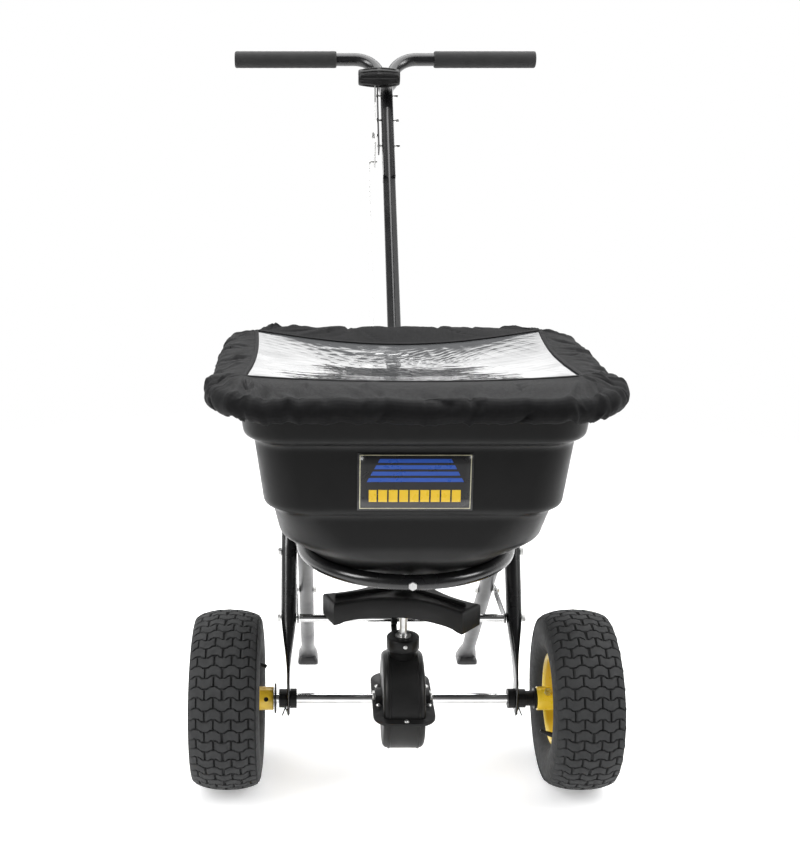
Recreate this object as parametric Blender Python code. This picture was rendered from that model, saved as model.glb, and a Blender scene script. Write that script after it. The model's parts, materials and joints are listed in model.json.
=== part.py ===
"""Push broadcast spreader with pneumatic wheels, a covered hopper, a bevel gear drive and a shut-off lever.

Run with: blender --background --python part.py
Metres, +Z up. X is the axle's direction, the hopper's front faces -Y and the handle leans back to +Y.
The origin is the middle of the object's outline on the ground.
"""

import math

import bmesh
import bpy
from mathutils import Matrix, Vector

# ---------------------------------------------------------------- driving dimensions
AXLE_Y = -0.2763  # places the outline's middle at y = 0
GAP = 0.0004  # clearance between touching pieces

WHEEL_RADIUS = 0.1397  # 11 x 4.00-5 turf tyre
WHEEL_X = 0.275
TYRE_HALF_WIDTH = 0.0540
BEAD_RADIUS = 0.0640
RIM_HALF_WIDTH = 0.0405
HUB_RADIUS = 0.0185
AXLE_RADIUS = 0.00794
AXLE_BORE = AXLE_RADIUS + GAP
AXLE_END_X = 0.3270
LEFT_HUB_X = 0.2035
RIGHT_HUB_X = 0.2130

TUBE_RADIUS = 0.0127
FRAME_X = 0.180
FRAME_KNEE = (0.092, 0.362)
FRAME_TOP = (0.160, 0.464)
LEG_X = 0.1540
LEG_FOOT_Y = 0.442
LEG_TOP_Y = 0.067
FLAT_THICKNESS = 0.0050
FRAME_BOLT = (0.0885, 0.3535)
LEG_BOLT = (0.200, 0.242)
TIE = (0.0455, 0.257)
TIE_RADIUS = 0.0064

RING_RADIUS = 0.155
RING_TUBE = 0.0110
RING_Y = -0.007
RING_Z = 0.402
RING_BOLT_Y = 0.1190

HANDLE_LEAN = 0.949  # metres back for each metre up
HANDLE_S = 0.927  # along the post, from the frame's cross tube to the hand grips
GRIP_INNER_X = 0.098
GRIP_OUTER_X = 0.302
GRIP_RADIUS = 0.0165
HANDLE_BEND = 0.050
POST_HALF_DIAGONAL = 0.0128
POST_START_S = 0.0220
POST_END_S = 0.7900
SLEEVE_END_S = 0.6200
SLEEVE_HALF_DIAGONAL = 0.0164
HANDLE_BOLT_S = (0.7016, 0.7658, 0.8295)

SHAFT_RADIUS = 0.00635
CASE_RADIUS = 0.0770
CASE_HALF_WIDTH = 0.0325
CASE_WALL = 0.0045
NECK_RADIUS = 0.0258
NECK_TOP_Z = 0.2470
GEAR_TEETH = 28
PINION_TEETH = 7
GEAR_RADIUS = 0.0560
GEAR_FACE_X = -0.0112
PINION_RADIUS = 0.0140
PINION_Z = (0.1870, 0.1990)

IMPELLER_RADIUS = 0.1250
IMPELLER_Z = (0.2900, 0.3350)
IMPELLER_ARM_WIDTH = 0.0480
IMPELLER_WAIST = 0.0440
IMPELLER_WALL = 0.0028
IMPELLER_TURN = 200.0

OUTLET_Z = 0.3890
OUTLET_THICKNESS = 0.0045
OUTLET_RADIUS = 0.1050
GATE_Z = 0.3845
GATE_THICKNESS = 0.0030

HOPPER_WALL = 0.0040

PIVOT_S = 0.7272
LEVER_X = -0.0236
LEVER_ARM = 0.0575  # from the lever's pivot to the rod's eye
LEVER_TRAVEL = 0.60  # radians
KNOB_S = 0.8450
KNOB_N = 0.0345
KNOB_X = -0.0155
ROD_X = -0.0365
ROD_N = -0.0562
ROD_RADIUS = 0.0030
CRANK_PIVOT = (0.140, 0.4275)
CRANK_X = -0.0300
CRANK_ROD_ARM = 0.0474
CRANK_GATE_ARM = 0.0395
CRANK_TRAVEL = 0.7333  # radians, for the lever's whole travel

ROUND_STEPS = 20

# ---------------------------------------------------------------- directions
AXLE = Vector((0.0, AXLE_Y, WHEEL_RADIUS))
POST_BASE = Vector((0.0, AXLE_Y + FRAME_TOP[0], FRAME_TOP[1]))
POST_ALONG = Vector((0.0, HANDLE_LEAN, 1.0)).normalized()
POST_FRONT = Vector((0.0, -POST_ALONG.z, POST_ALONG.y))
SIDE = Vector((1.0, 0.0, 0.0))


def place(x, y, z):
    """World point from a point measured from the axle's vertical plane."""
    return Vector((x, AXLE_Y + y, z))


def on_post(x, s, n=0.0):
    """World point at s along the post and n in front of it."""
    return POST_BASE + SIDE * x + POST_ALONG * s + POST_FRONT * n


# ---------------------------------------------------------------- scene helpers
MATERIALS = {}
FINISHES = {
    "gloss_black": ((0.012, 0.012, 0.013, 1), 0.22, 0.0),
    "satin_grey": ((0.060, 0.060, 0.062, 1), 0.42, 0.0),
    "zinc": ((0.62, 0.62, 0.60, 1), 0.30, 1.0),
    "yellow_paint": ((0.80, 0.56, 0.06, 1), 0.35, 0.0),
    "rubber": ((0.035, 0.036, 0.036, 1), 0.75, 0.0),
    "black_plastic": ((0.018, 0.018, 0.018, 1), 0.45, 0.0),
    "case_plastic": ((0.026, 0.027, 0.025, 1), 0.50, 0.0),
    "hopper_plastic": ((0.016, 0.016, 0.016, 1), 0.40, 0.0),
    "foam": ((0.020, 0.020, 0.020, 1), 0.90, 0.0),
    "cover_cloth": ((0.022, 0.022, 0.023, 1), 0.85, 0.0),
    "steel": ((0.45, 0.45, 0.46, 1), 0.35, 1.0),
}


def clear_scene():
    for old in list(bpy.data.objects):
        bpy.data.objects.remove(old, do_unlink=True)


def finish_material(finish):
    if finish not in MATERIALS:
        colour, roughness, metallic = FINISHES[finish]
        material = bpy.data.materials.new(finish)
        material.use_nodes = True
        shader = material.node_tree.nodes["Principled BSDF"]
        shader.inputs["Base Color"].default_value = colour
        shader.inputs["Roughness"].default_value = roughness
        shader.inputs["Metallic"].default_value = metallic
        MATERIALS[finish] = material
    return MATERIALS[finish]


def add_empty(name, location):
    empty = bpy.data.objects.new(name, None)
    empty.location = location
    bpy.context.scene.collection.objects.link(empty)
    return empty


def add_object(name, shape, finish, parent=None, smooth=True):
    """Makes an object from a bmesh whose points are in the world's frame."""
    bmesh.ops.recalc_face_normals(shape, faces=shape.faces)
    mesh = bpy.data.meshes.new(name)
    if parent is not None:
        bmesh.ops.translate(shape, verts=shape.verts, vec=-parent.location)
    shape.to_mesh(mesh)
    shape.free()
    obj = bpy.data.objects.new(name, mesh)
    bpy.context.scene.collection.objects.link(obj)
    obj.parent = parent
    if smooth:
        mesh.shade_smooth()
        mesh.set_sharp_from_angle(angle=math.radians(35))
    if finish:
        mesh.materials.append(finish_material(finish))
    return obj


def cut(obj, shape, operation="DIFFERENCE"):
    """Cuts a world-frame bmesh out of obj, or joins it to obj, with an exact Boolean."""
    tool = add_object(f"{obj.name}_tool_{len(obj.modifiers)}", shape, None, obj.parent, smooth=False)
    tool.hide_render = True
    tool.display_type = "WIRE"
    boolean = obj.modifiers.new("shape", "BOOLEAN")
    boolean.operation = operation
    boolean.solver = "EXACT"
    boolean.object = tool
    return obj


def join(obj, shape):
    return cut(obj, shape, "UNION")


# ---------------------------------------------------------------- shape helpers
def loft(rings, closed=False):
    """Skins rings of equal counts of points, and caps both ends unless the rings close on themselves."""
    shape = bmesh.new()
    rows = [[shape.verts.new(point) for point in ring] for ring in rings]
    count = len(rows[0])
    pairs = list(zip(rows, rows[1:]))
    if closed:
        pairs.append((rows[-1], rows[0]))
    for lower, upper in pairs:
        for i in range(count):
            j = (i + 1) % count
            shape.faces.new((lower[i], lower[j], upper[j], upper[i]))
    if not closed:
        shape.faces.new(list(reversed(rows[0])))
        shape.faces.new(rows[-1])
    return shape


def rounded_path(corners, bend_radius, steps=6):
    """A polyline's points with each inner corner replaced by an arc of the given radius."""
    corners = [Vector(corner) for corner in corners]
    points = [corners[0]]
    for before, corner, after in zip(corners, corners[1:], corners[2:]):
        back = (before - corner).normalized()
        ahead = (after - corner).normalized()
        half_angle = back.angle(ahead) / 2
        centre = corner + (back + ahead).normalized() * (bend_radius / math.sin(half_angle))
        start = corner + back * (bend_radius / math.tan(half_angle)) - centre
        end = corner + ahead * (bend_radius / math.tan(half_angle)) - centre
        for i in range(steps + 1):
            points.append(centre + start.normalized().slerp(end.normalized(), i / steps) * start.length)
    points.append(corners[-1])
    return points


def carried_frames(points, side):
    """Side and normal vectors carried along a path without twist."""
    frames = []
    for i, point in enumerate(points):
        ahead = points[min(i + 1, len(points) - 1)] - points[max(i - 1, 0)]
        tangent = ahead.normalized()
        side = (side - tangent * side.dot(tangent)).normalized()
        frames.append((point, side, tangent.cross(side)))
    return frames


def ellipse_ring(centre, side, normal, half_side, half_normal, sides, power=1.0):
    """A superellipse of points: power 1 is an ellipse, less than 1 is squarer."""
    ring = []
    for i in range(sides):
        angle = 2 * math.pi * i / sides
        c, s = math.cos(angle), math.sin(angle)
        across = math.copysign(abs(c) ** power, c) * half_side
        along = math.copysign(abs(s) ** power, s) * half_normal
        ring.append(centre + side * across + normal * along)
    return ring


def tube(corners, radius, bend_radius=0.03, sides=12, steps=6, side=SIDE):
    points = rounded_path(corners, bend_radius, steps) if len(corners) > 2 else [Vector(c) for c in corners]
    return loft([ellipse_ring(p, a, b, radius, radius, sides) for p, a, b in carried_frames(points, side)])


def rod(start, end, radius, sides=12):
    return tube([start, end], radius, sides=sides, side=SIDE if abs((end - start).normalized().x) < 0.9
                else Vector((0, 1, 0)))


def box(centre, size, turn=None):
    shape = bmesh.new()
    bmesh.ops.create_cube(shape, size=1.0)
    bmesh.ops.scale(shape, vec=Vector(size), verts=shape.verts)
    if turn is not None:
        bmesh.ops.transform(shape, matrix=turn.to_4x4(), verts=shape.verts)
    bmesh.ops.translate(shape, vec=Vector(centre), verts=shape.verts)
    return shape


def turned(profile, centre, axis="X", steps=ROUND_STEPS, closed=False):
    """Spins a profile of (along, radius) pairs about an axis through centre; closed profiles make a ring."""
    shape = bmesh.new()
    verts = [shape.verts.new((along, 0.0, radius)) for along, radius in profile]
    edges = [shape.edges.new(pair) for pair in zip(verts, verts[1:])]
    if closed:
        edges.append(shape.edges.new((verts[-1], verts[0])))
    bmesh.ops.spin(shape, geom=verts + edges, cent=(0, 0, 0), axis=(1, 0, 0),
                   angle=2 * math.pi, steps=steps, use_duplicate=False)
    bmesh.ops.remove_doubles(shape, verts=shape.verts, dist=1e-6)
    if axis == "Z":
        bmesh.ops.rotate(shape, verts=shape.verts, cent=(0, 0, 0),
                         matrix=Matrix.Rotation(-math.pi / 2, 3, "Y"))
    if axis == "Y":
        bmesh.ops.rotate(shape, verts=shape.verts, cent=(0, 0, 0),
                         matrix=Matrix.Rotation(math.pi / 2, 3, "Z"))
    bmesh.ops.translate(shape, vec=Vector(centre), verts=shape.verts)
    return shape


def disc(centre, radius, start, end, axis="X", steps=ROUND_STEPS):
    along, side, up = {"X": ((1, 0, 0), (0, 1, 0), (0, 0, 1)), "Y": ((0, 1, 0), (0, 0, 1), (1, 0, 0)),
                       "Z": ((0, 0, 1), (1, 0, 0), (0, 1, 0))}[axis]
    middles = [Vector(centre) + Vector(along) * distance for distance in (start, end)]
    return loft([ellipse_ring(middle, Vector(side), Vector(up), radius, radius, steps) for middle in middles])


def washer(centre, inner, outer, start, end, axis="X", steps=ROUND_STEPS):
    return turned([(start, inner), (start, outer), (end, outer), (end, inner)], centre, axis, steps,
                  closed=True)


def bolt(centre, start, end, shank, head, head_length, nut_length, axis="X", flip=False):
    """A through bolt along an axis: a hexagon head past one end of the stack and a nut past the other."""
    low, high = (nut_length, head_length) if flip else (head_length, nut_length)
    profile = [(start - low, 0.0), (start - low, head), (start, head), (start, shank),
               (end, shank), (end, head), (end + high, head), (end + high, 0.0)]
    return turned(profile, centre, axis, steps=6 if head else 12)


# ---------------------------------------------------------------- frame
def flattened(radius, flatness):
    """Half thickness and half width of a tube pressed from round, 0, to flat, 1, at the same perimeter."""
    half_thickness = radius + (FLAT_THICKNESS / 2 - radius) * flatness
    half_width = radius + (math.pi / 2 * radius - FLAT_THICKNESS / 2 - radius) * flatness
    return half_thickness, half_width


def make_main_frame():
    foot_z = WHEEL_RADIUS - 0.0200
    left = [place(-FRAME_X, 0, foot_z), place(-FRAME_X, 0, 0.168), place(-FRAME_X, 0.022, 0.208)]
    left += [place(-FRAME_X, *FRAME_KNEE), place(-FRAME_X, *FRAME_TOP)]
    corners = left + [Vector((-p.x, p.y, p.z)) for p in reversed(left)]
    points = [corners[0]] + rounded_path(corners[1:-1], 0.045, 5) + [corners[-1]]
    rings = []
    for point, side, normal in carried_frames(points, SIDE):
        flatness = min(max((0.270 - point.z) / 0.100, 0.0), 1.0)
        half_thickness, half_width = flattened(TUBE_RADIUS, flatness)
        rings.append(ellipse_ring(point, side, normal, half_thickness, half_width, 14, 1.0 - 0.45 * flatness))
    frame = add_object("main_frame", loft(rings), "gloss_black")
    for sign in (-1, 1):
        hole = Vector((sign * FRAME_X, AXLE.y, AXLE.z))
        cut(frame, disc(hole, 0.0125, -0.02, 0.02, steps=20))
    for sign, (y, z) in ((s, p) for s in (-1, 1) for p in (FRAME_BOLT, TIE, (RING_BOLT_Y, RING_Z))):
        cut(frame, disc(place(sign * FRAME_X, y, z), 0.0033 + GAP, -0.03, 0.03, steps=10))
    return frame


def make_rear_leg(name, sign):
    top = place(sign * LEG_X, LEG_TOP_Y, LEG_FOOT_Y - LEG_TOP_Y)
    low = place(sign * LEG_X, LEG_FOOT_Y - 0.020, 0.020)
    down = (low - top).normalized()
    normal = SIDE.cross(down)
    rings = []
    for share, flare in ((0.0, 0.0), (0.90, 0.0), (0.955, 0.35), (1.0, 1.0)):
        centre = top.lerp(low, share)
        rings.append(ellipse_ring(centre, SIDE, normal, TUBE_RADIUS + 0.0065 * flare, TUBE_RADIUS, 14,
                                  1 - 0.3 * flare))
    leg = add_object(name, loft(rings), "satin_grey")
    pad = box(place(sign * LEG_X, LEG_FOOT_Y - 0.012, 0.0095), (0.0390, 0.0430, 0.0190))
    join(leg, pad)
    for y, z in (FRAME_BOLT, LEG_BOLT):
        cut(leg, disc(place(sign * LEG_X, y, z), 0.0033 + GAP, -0.03, 0.03, steps=10))
    return leg


def make_ring():
    count = 16
    back = RING_BOLT_Y + 0.014
    path = [place(-RING_RADIUS, back, RING_Z)]
    for i in range(count + 1):
        angle = math.pi + math.pi * i / count
        path.append(place(RING_RADIUS * math.cos(angle), RING_Y + RING_RADIUS * math.sin(angle), RING_Z))
    path.append(place(RING_RADIUS, back, RING_Z))
    frames = carried_frames(path, SIDE)
    rings = [ellipse_ring(p, a, b, RING_TUBE, RING_TUBE, 12) for p, a, b in frames]
    ring = add_object("support_ring", loft(rings), "gloss_black")
    for sign in (-1, 1):
        cut(ring, disc(place(sign * RING_RADIUS, RING_BOLT_Y, RING_Z), 0.0033 + GAP, -0.03, 0.03, steps=10))
    cut(ring, disc(place(0, RING_Y - RING_RADIUS, RING_Z), 0.0033 + GAP, -0.03, 0.03, "Y", steps=10))
    return ring


def make_braces_and_tie():
    tie = rod(place(-FRAME_X + TUBE_RADIUS + 0.0040, *TIE), place(FRAME_X - TUBE_RADIUS - 0.0040, *TIE),
              TIE_RADIUS)
    add_object("cross_tie", tie, "zinc")
    for name, sign in (("left", -1), ("right", 1)):
        start, end = place(sign * 0.1655, *TIE), place(sign * 0.1704, *LEG_BOLT)
        along = (end - start).normalized()
        across = along.cross(SIDE).normalized()
        out = across.cross(along).normalized()
        rings = []
        for s, half in ((-0.008, 0.004), (-0.004, 0.008), ((end - start).length + 0.004, 0.008),
                        ((end - start).length + 0.008, 0.004)):
            centre = start + along * s
            corners = [(-half, -0.0013), (half, -0.0013), (half, 0.0013), (-half, 0.0013)]
            rings.append([centre + across * a + out * o for a, o in corners])
        brace = add_object(f"brace_{name}", loft(rings), "gloss_black", smooth=False)
        cut(brace, disc(start, 0.0033 + GAP, -0.02, 0.02, steps=10))
        cut(brace, disc(end, 0.0033 + GAP, -0.02, 0.02, steps=10))


def make_frame_bolts():
    """Each through bolt runs along X from the outer face of its stack to the inner one."""
    shank, head = 0.0031, 0.0064
    for name, sign in (("left", -1), ("right", 1)):
        stacks = {
            "frame_bolt": (FRAME_BOLT, LEG_X - TUBE_RADIUS, FRAME_X + TUBE_RADIUS),
            "leg_bolt": (LEG_BOLT, LEG_X - TUBE_RADIUS, 0.1727),
            "ring_bolt": ((RING_BOLT_Y, RING_Z), RING_RADIUS - RING_TUBE, FRAME_X + TUBE_RADIUS),
        }
        for bolt_name, ((y, z), inner, outer) in stacks.items():
            low, high = sorted((sign * (inner - GAP), sign * (outer + GAP)))
            shape = bolt(place(0, y, z), low, high, shank, head, 0.0045, 0.0045)
            add_object(f"{bolt_name}_{name}", shape, "zinc")
        # The tie bolt ends in the tie's own thread, modelled flush against its end.
        inner, outer = FRAME_X - TUBE_RADIUS - 0.0036, FRAME_X + TUBE_RADIUS + GAP
        profile = [(inner, 0), (inner, shank), (outer, shank), (outer, head), (outer + 0.005, head),
                   (outer + 0.005, 0)]
        shape = turned([(sign * a, r) for a, r in profile], place(0, *TIE), steps=6)
        add_object(f"tie_bolt_{name}", shape, "zinc")


# ---------------------------------------------------------------- handle
def diamond_ring(centre, half_diagonal, blunt=0.0016):
    """A square on its corner in the post's cross-section, with its corners blunted."""
    tip = half_diagonal - blunt
    corners = [(tip, blunt), (blunt, tip), (-blunt, tip), (-tip, blunt),
               (-tip, -blunt), (-blunt, -tip), (blunt, -tip), (tip, -blunt)]
    return [centre + SIDE * x + POST_FRONT * n for x, n in corners]


def half_diamond_radius(angle):
    """Distance from the half diamond's middle to its outline, for a tube end pressed against its twin."""
    middle = 0.0062
    sides = ((math.pi, middle - 0.0006), (math.pi / 4, (SLEEVE_HALF_DIAGONAL - middle) / math.sqrt(2)),
             (-math.pi / 4, (SLEEVE_HALF_DIAGONAL - middle) / math.sqrt(2)))
    reach = [distance / math.cos(angle - facing) for facing,
             distance in sides if math.cos(angle - facing) > 0.05]
    return min(min(reach), 0.0150)


def make_handle_tube(name, sign):
    """A round grip tube that bends down and is pressed into half of the sleeve round the post."""
    steps = 6
    path = [(GRIP_OUTER_X - 0.0030, HANDLE_S, 0.0)]
    centre_x, centre_s = TUBE_RADIUS + HANDLE_BEND, HANDLE_S - HANDLE_BEND
    for i in range(steps + 1):
        angle = math.pi / 2 * i / steps
        path.append((centre_x - HANDLE_BEND * math.sin(angle), centre_s + HANDLE_BEND * math.cos(angle), 0.0))
    path += [(0.0105, 0.865, 0.4), (0.0062, 0.8435, 1.0), (0.0062, SLEEVE_END_S, 1.0)]
    points = [on_post(sign * x, s) for x, s, _ in path]
    rings = []
    for (point, _, _), (_, _, pressed), i in zip(carried_frames(points, POST_FRONT), path, range(len(path))):
        ahead = (points[min(i + 1, len(points) - 1)] - points[max(i - 1, 0)]).normalized()
        out = POST_FRONT.cross(ahead) * sign
        ring = []
        for k in range(16):
            angle = 2 * math.pi * k / 16
            radius = TUBE_RADIUS + (half_diamond_radius(angle) - TUBE_RADIUS) * pressed
            ring.append(point + out * (radius * math.cos(angle)) + POST_FRONT * (radius * math.sin(angle)))
        rings.append(ring)
    tube_end = add_object(name, loft(rings), "gloss_black")
    socket = loft([diamond_ring(on_post(0, s), POST_HALF_DIAGONAL + GAP) for s in (0.5, POST_END_S + 0.003)])
    cut(tube_end, socket)
    for s in HANDLE_BOLT_S:
        cut(tube_end, disc(on_post(0, s), 0.0029, -0.03, 0.03, steps=10))
    return tube_end


def make_grip(name, sign):
    """A foam sleeve, closed at its outer end."""
    inner, outer = sign * GRIP_INNER_X, sign * GRIP_OUTER_X
    profile = [(inner, 0.0), (inner, GRIP_RADIUS - 0.0015), (inner + sign * 0.0015, GRIP_RADIUS),
               (outer - sign * 0.003, GRIP_RADIUS), (outer, GRIP_RADIUS - 0.003), (outer, 0.0)]
    grip = add_object(name, turned(profile, on_post(0, HANDLE_S)), "foam")
    bore = sorted((inner - sign * 0.01, outer - sign * 0.0026))
    cut(grip, disc(on_post(0, HANDLE_S), TUBE_RADIUS + GAP, *bore))


def make_post():
    post = add_object("handle_post", loft([diamond_ring(on_post(0, s), POST_HALF_DIAGONAL)
                                           for s in (POST_START_S, POST_END_S)]), "gloss_black", smooth=False)
    for s in HANDLE_BOLT_S[:2] + (0.050,):
        cut(post, disc(on_post(0, s), 0.0029, -0.03, 0.03, steps=10))
    saddle = box(on_post(0, 0.0330), (0.0400, 0.0400, 0.0700), post_turn())
    saddle = add_object("post_saddle", saddle, "gloss_black", smooth=False)
    cut(saddle, rod(POST_BASE - SIDE * 0.05, POST_BASE + SIDE * 0.05, TUBE_RADIUS + GAP, 20))
    cut(saddle, loft([diamond_ring(on_post(0, s), POST_HALF_DIAGONAL + GAP) for s in (0.0180, 0.1)]))
    cut(saddle, disc(on_post(0, 0.050), 0.0029, -0.03, 0.03, steps=10))
    add_object("saddle_bolt", bolt(on_post(0, 0.050), -0.0204, 0.0204, 0.0026, 0.0055, 0.004, 0.004), "zinc")


def post_turn():
    """Turns a box's local Y and Z to the post's front and along."""
    return Matrix((SIDE, -POST_FRONT, POST_ALONG)).transposed()


def make_handle_bolts():
    """Three low-headed bolts through the bracket and both halves of the sleeve, with nuts on the right."""
    for i, s in enumerate(HANDLE_BOLT_S):
        shape = bolt(on_post(0, s), -0.0194, SLEEVE_HALF_DIAGONAL + GAP, 0.0025, 0.0052, 0.0012, 0.0055)
        add_object(f"handle_bolt_{i + 1}", shape, "zinc")


# ---------------------------------------------------------------- shut-off lever, rod, crank and gate
def plate_along(points, half_width, x_low, x_high):
    """A flat strap of one thickness in X whose middle follows (s, n) points beside the post."""
    rings = []
    for i, (s, n) in enumerate(points):
        after, before = points[min(i + 1, len(points) - 1)], points[max(i - 1, 0)]
        ds, dn = after[0] - before[0], after[1] - before[1]
        length = math.hypot(ds, dn)
        across_s, across_n = -dn / length * half_width, ds / length * half_width
        rings.append([on_post(x_low, s + across_s, n + across_n), on_post(x_low, s - across_s, n - across_n),
                      on_post(x_high, s - across_s, n - across_n),
                      on_post(x_high, s + across_s, n + across_n)])
    return loft(rings)


def rod_eye():
    """The eye's place on the lever at rest, as (s, n)."""
    half = LEVER_TRAVEL / 2
    return PIVOT_S - LEVER_ARM * math.sin(half), -LEVER_ARM * math.cos(half)


def make_lever(parent):
    half_thickness = 0.0014
    x_low, x_high = LEVER_X - half_thickness, LEVER_X + half_thickness
    strap = plate_along([(PIVOT_S - 0.009, 0.0), (0.760, 0.0), (0.800, 0.010),
                         (KNOB_S + 0.004, KNOB_N + 0.002)],
                        0.0085, x_low, x_high)
    lever = add_object("control_lever", strap, "zinc", parent, smooth=False)
    eye_s, eye_n = rod_eye()
    join(lever,
         plate_along([(PIVOT_S + 0.004, 0.004), (eye_s - 0.0025, eye_n - 0.0085)], 0.0085, x_low, x_high))
    cut(lever, disc(on_post(0, PIVOT_S), 0.0036, -0.04, 0.0, steps=12))
    cut(lever, disc(on_post(0, eye_s, eye_n), 0.0050, -0.04, 0.0, steps=12))
    half = 0.0405
    profile = [(-half, 0.0), (-half, 0.0145), (-half + 0.004, 0.0165), (0.0, 0.0182),
               (half - 0.004, 0.0165), (half, 0.0145), (half, 0.0)]
    knob = add_object("lever_knob", turned(profile, on_post(KNOB_X, KNOB_S, KNOB_N)), "black_plastic", parent)
    cut(knob,
        plate_along([(0.800, 0.010), (KNOB_S + 0.005, KNOB_N + 0.0025)], 0.0092, x_low - GAP, x_high + GAP))


def make_lever_bracket():
    plate = plate_along([(0.688, 0.0), (0.842, 0.0)], 0.0110, -0.0190, -SLEEVE_HALF_DIAGONAL - GAP)
    bracket = add_object("lever_bracket", plate, "black_plastic", smooth=False)
    for s in HANDLE_BOLT_S:
        cut(bracket, disc(on_post(0, s), 0.0029, -0.04, 0.0, steps=10))
    cut(bracket, disc(on_post(0, PIVOT_S), 0.0029, -0.04, 0.0, steps=10))
    low = LEVER_X - 0.0014
    profile = [(low - 0.0054, 0.0), (low - 0.0054, 0.0062), (low - GAP, 0.0062), (low - GAP, 0.0032),
               (-0.0196, 0.0032), (-0.0194, 0.0026), (-0.0168, 0.0026), (-0.0168, 0.0)]
    add_object("lever_pivot_bolt", turned(profile, on_post(0, PIVOT_S), steps=8), "zinc")


def crank_point(arm, angle):
    """A point on the crank in world space; angle 0 points straight down and grows towards the rear."""
    y, z = CRANK_PIVOT
    return place(0, y + arm * math.sin(angle), z - arm * math.cos(angle))


def crank_eye_angle():
    """The rod's arm stands square to the rod at half travel."""
    square = math.atan2(-POST_FRONT.y, POST_FRONT.z)
    return square - CRANK_TRAVEL / 2


def make_control_rod(parent):
    top_s, _ = rod_eye()
    eye = crank_point(CRANK_ROD_ARM, crank_eye_angle())
    low_s = (eye - POST_BASE).dot(POST_ALONG)
    corners = [on_post(LEVER_X + 0.0045, top_s, ROD_N), on_post(ROD_X, top_s, ROD_N),
               on_post(ROD_X, low_s, ROD_N), on_post(CRANK_X + 0.0035, low_s, ROD_N)]
    add_object("control_rod", tube(corners, ROD_RADIUS, 0.007, 8, 4, side=POST_FRONT), "zinc", parent)


def link_plate(start, end, start_radius, end_radius, x_low, x_high, steps=8):
    """A flat link in the YZ plane with a round end about each of its two points."""
    heading = math.atan2(end.z - start.z, end.y - start.y)
    outline = []
    for centre, radius, first in ((start, start_radius, heading + math.pi / 2),
                                  (end, end_radius, heading - math.pi / 2)):
        for i in range(steps + 1):
            angle = first + math.pi * i / steps
            outline.append((centre.y + radius * math.cos(angle), centre.z + radius * math.sin(angle)))
    return loft([[Vector((x, y, z)) for y, z in outline] for x in (x_low, x_high)])


def make_crank(parent):
    x_low, x_high = CRANK_X - 0.0015, CRANK_X + 0.0015
    pivot = place(0, *CRANK_PIVOT)
    eye = crank_point(CRANK_ROD_ARM, crank_eye_angle())
    tip = crank_point(CRANK_GATE_ARM, -CRANK_TRAVEL / 2)
    plate = link_plate(pivot, eye, 0.0090, 0.0085, x_low, x_high)
    crank = add_object("bell_crank", plate, "zinc", parent, smooth=False)
    join(crank, link_plate(pivot, tip, 0.0078, 0.0035, x_low + 0.0003, x_high - 0.0003))
    cut(crank, disc(pivot, 0.0036, -0.06, 0.0, steps=12))
    cut(crank, disc(eye, 0.0052, -0.06, 0.0, steps=12))
    return crank


def make_crank_bracket():
    y, z = CRANK_PIVOT
    top_y, top_z = FRAME_TOP
    x_low, x_high = CRANK_X + 0.0020, CRANK_X + 0.0045
    half = 0.0085
    rings = []
    for centre_y, centre_z, half_width in ((y, z - 0.0085, half), (y, z + 0.006, half),
                                           (top_y, top_z + 0.020, 0.019)):
        rings.append([place(x_low, centre_y - half_width, centre_z),
                      place(x_low, centre_y + half_width, centre_z),
                      place(x_high, centre_y + half_width, centre_z),
                      place(x_high, centre_y - half_width, centre_z)])
    bracket = add_object("crank_bracket", loft(rings), "gloss_black", smooth=False)
    cut(bracket, rod(POST_BASE - SIDE * 0.05, POST_BASE + SIDE * 0.05, TUBE_RADIUS + GAP, 20))
    # A headed stud riveted into the bracket carries the crank.
    low = CRANK_X - 0.0015 - GAP
    stud = [(low - 0.004, 0.0), (low - 0.004, 0.0062), (low, 0.0062), (low, 0.0031),
            (x_high - 0.0004, 0.0031),
            (x_high - 0.0004, 0.0)]
    join(bracket, turned(stud, place(0, y, z), steps=16))


def port_shapes(z, thickness, shift=0.0):
    """Cutters for the three feed ports in front of the shaft."""
    return [box(place(x, -0.040 + shift, z), (width, 0.020, thickness * 4)) for x, width in
            ((-0.038, 0.026), (0.0, 0.030), (0.038, 0.026))]


def make_outlet():
    middle = OUTLET_Z + OUTLET_THICKNESS / 2
    plate = disc(place(0, 0, 0), OUTLET_RADIUS - 0.006, OUTLET_Z, OUTLET_Z + OUTLET_THICKNESS, "Z", 32)
    plate = add_object("outlet_plate", plate, "black_plastic")
    cut(plate, disc(place(0, 0, 0), SHAFT_RADIUS + 0.0012, 0.35, 0.42, "Z", 16))
    for shape in port_shapes(middle, OUTLET_THICKNESS):
        cut(plate, shape)
    for name, sign in (("left", -1), ("right", 1)):
        top = OUTLET_Z - GAP
        rail = box(place(sign * 0.0735, -0.005, top - 0.0037), (0.0100, 0.130, 0.0074))
        rail = add_object(f"gate_guide_{name}", rail, "black_plastic", smooth=False)
        cut(rail, box(place(sign * 0.0690, 0.0, GATE_Z + 0.0015), (0.0100, 0.2, GATE_THICKNESS + 0.0010)))


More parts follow.
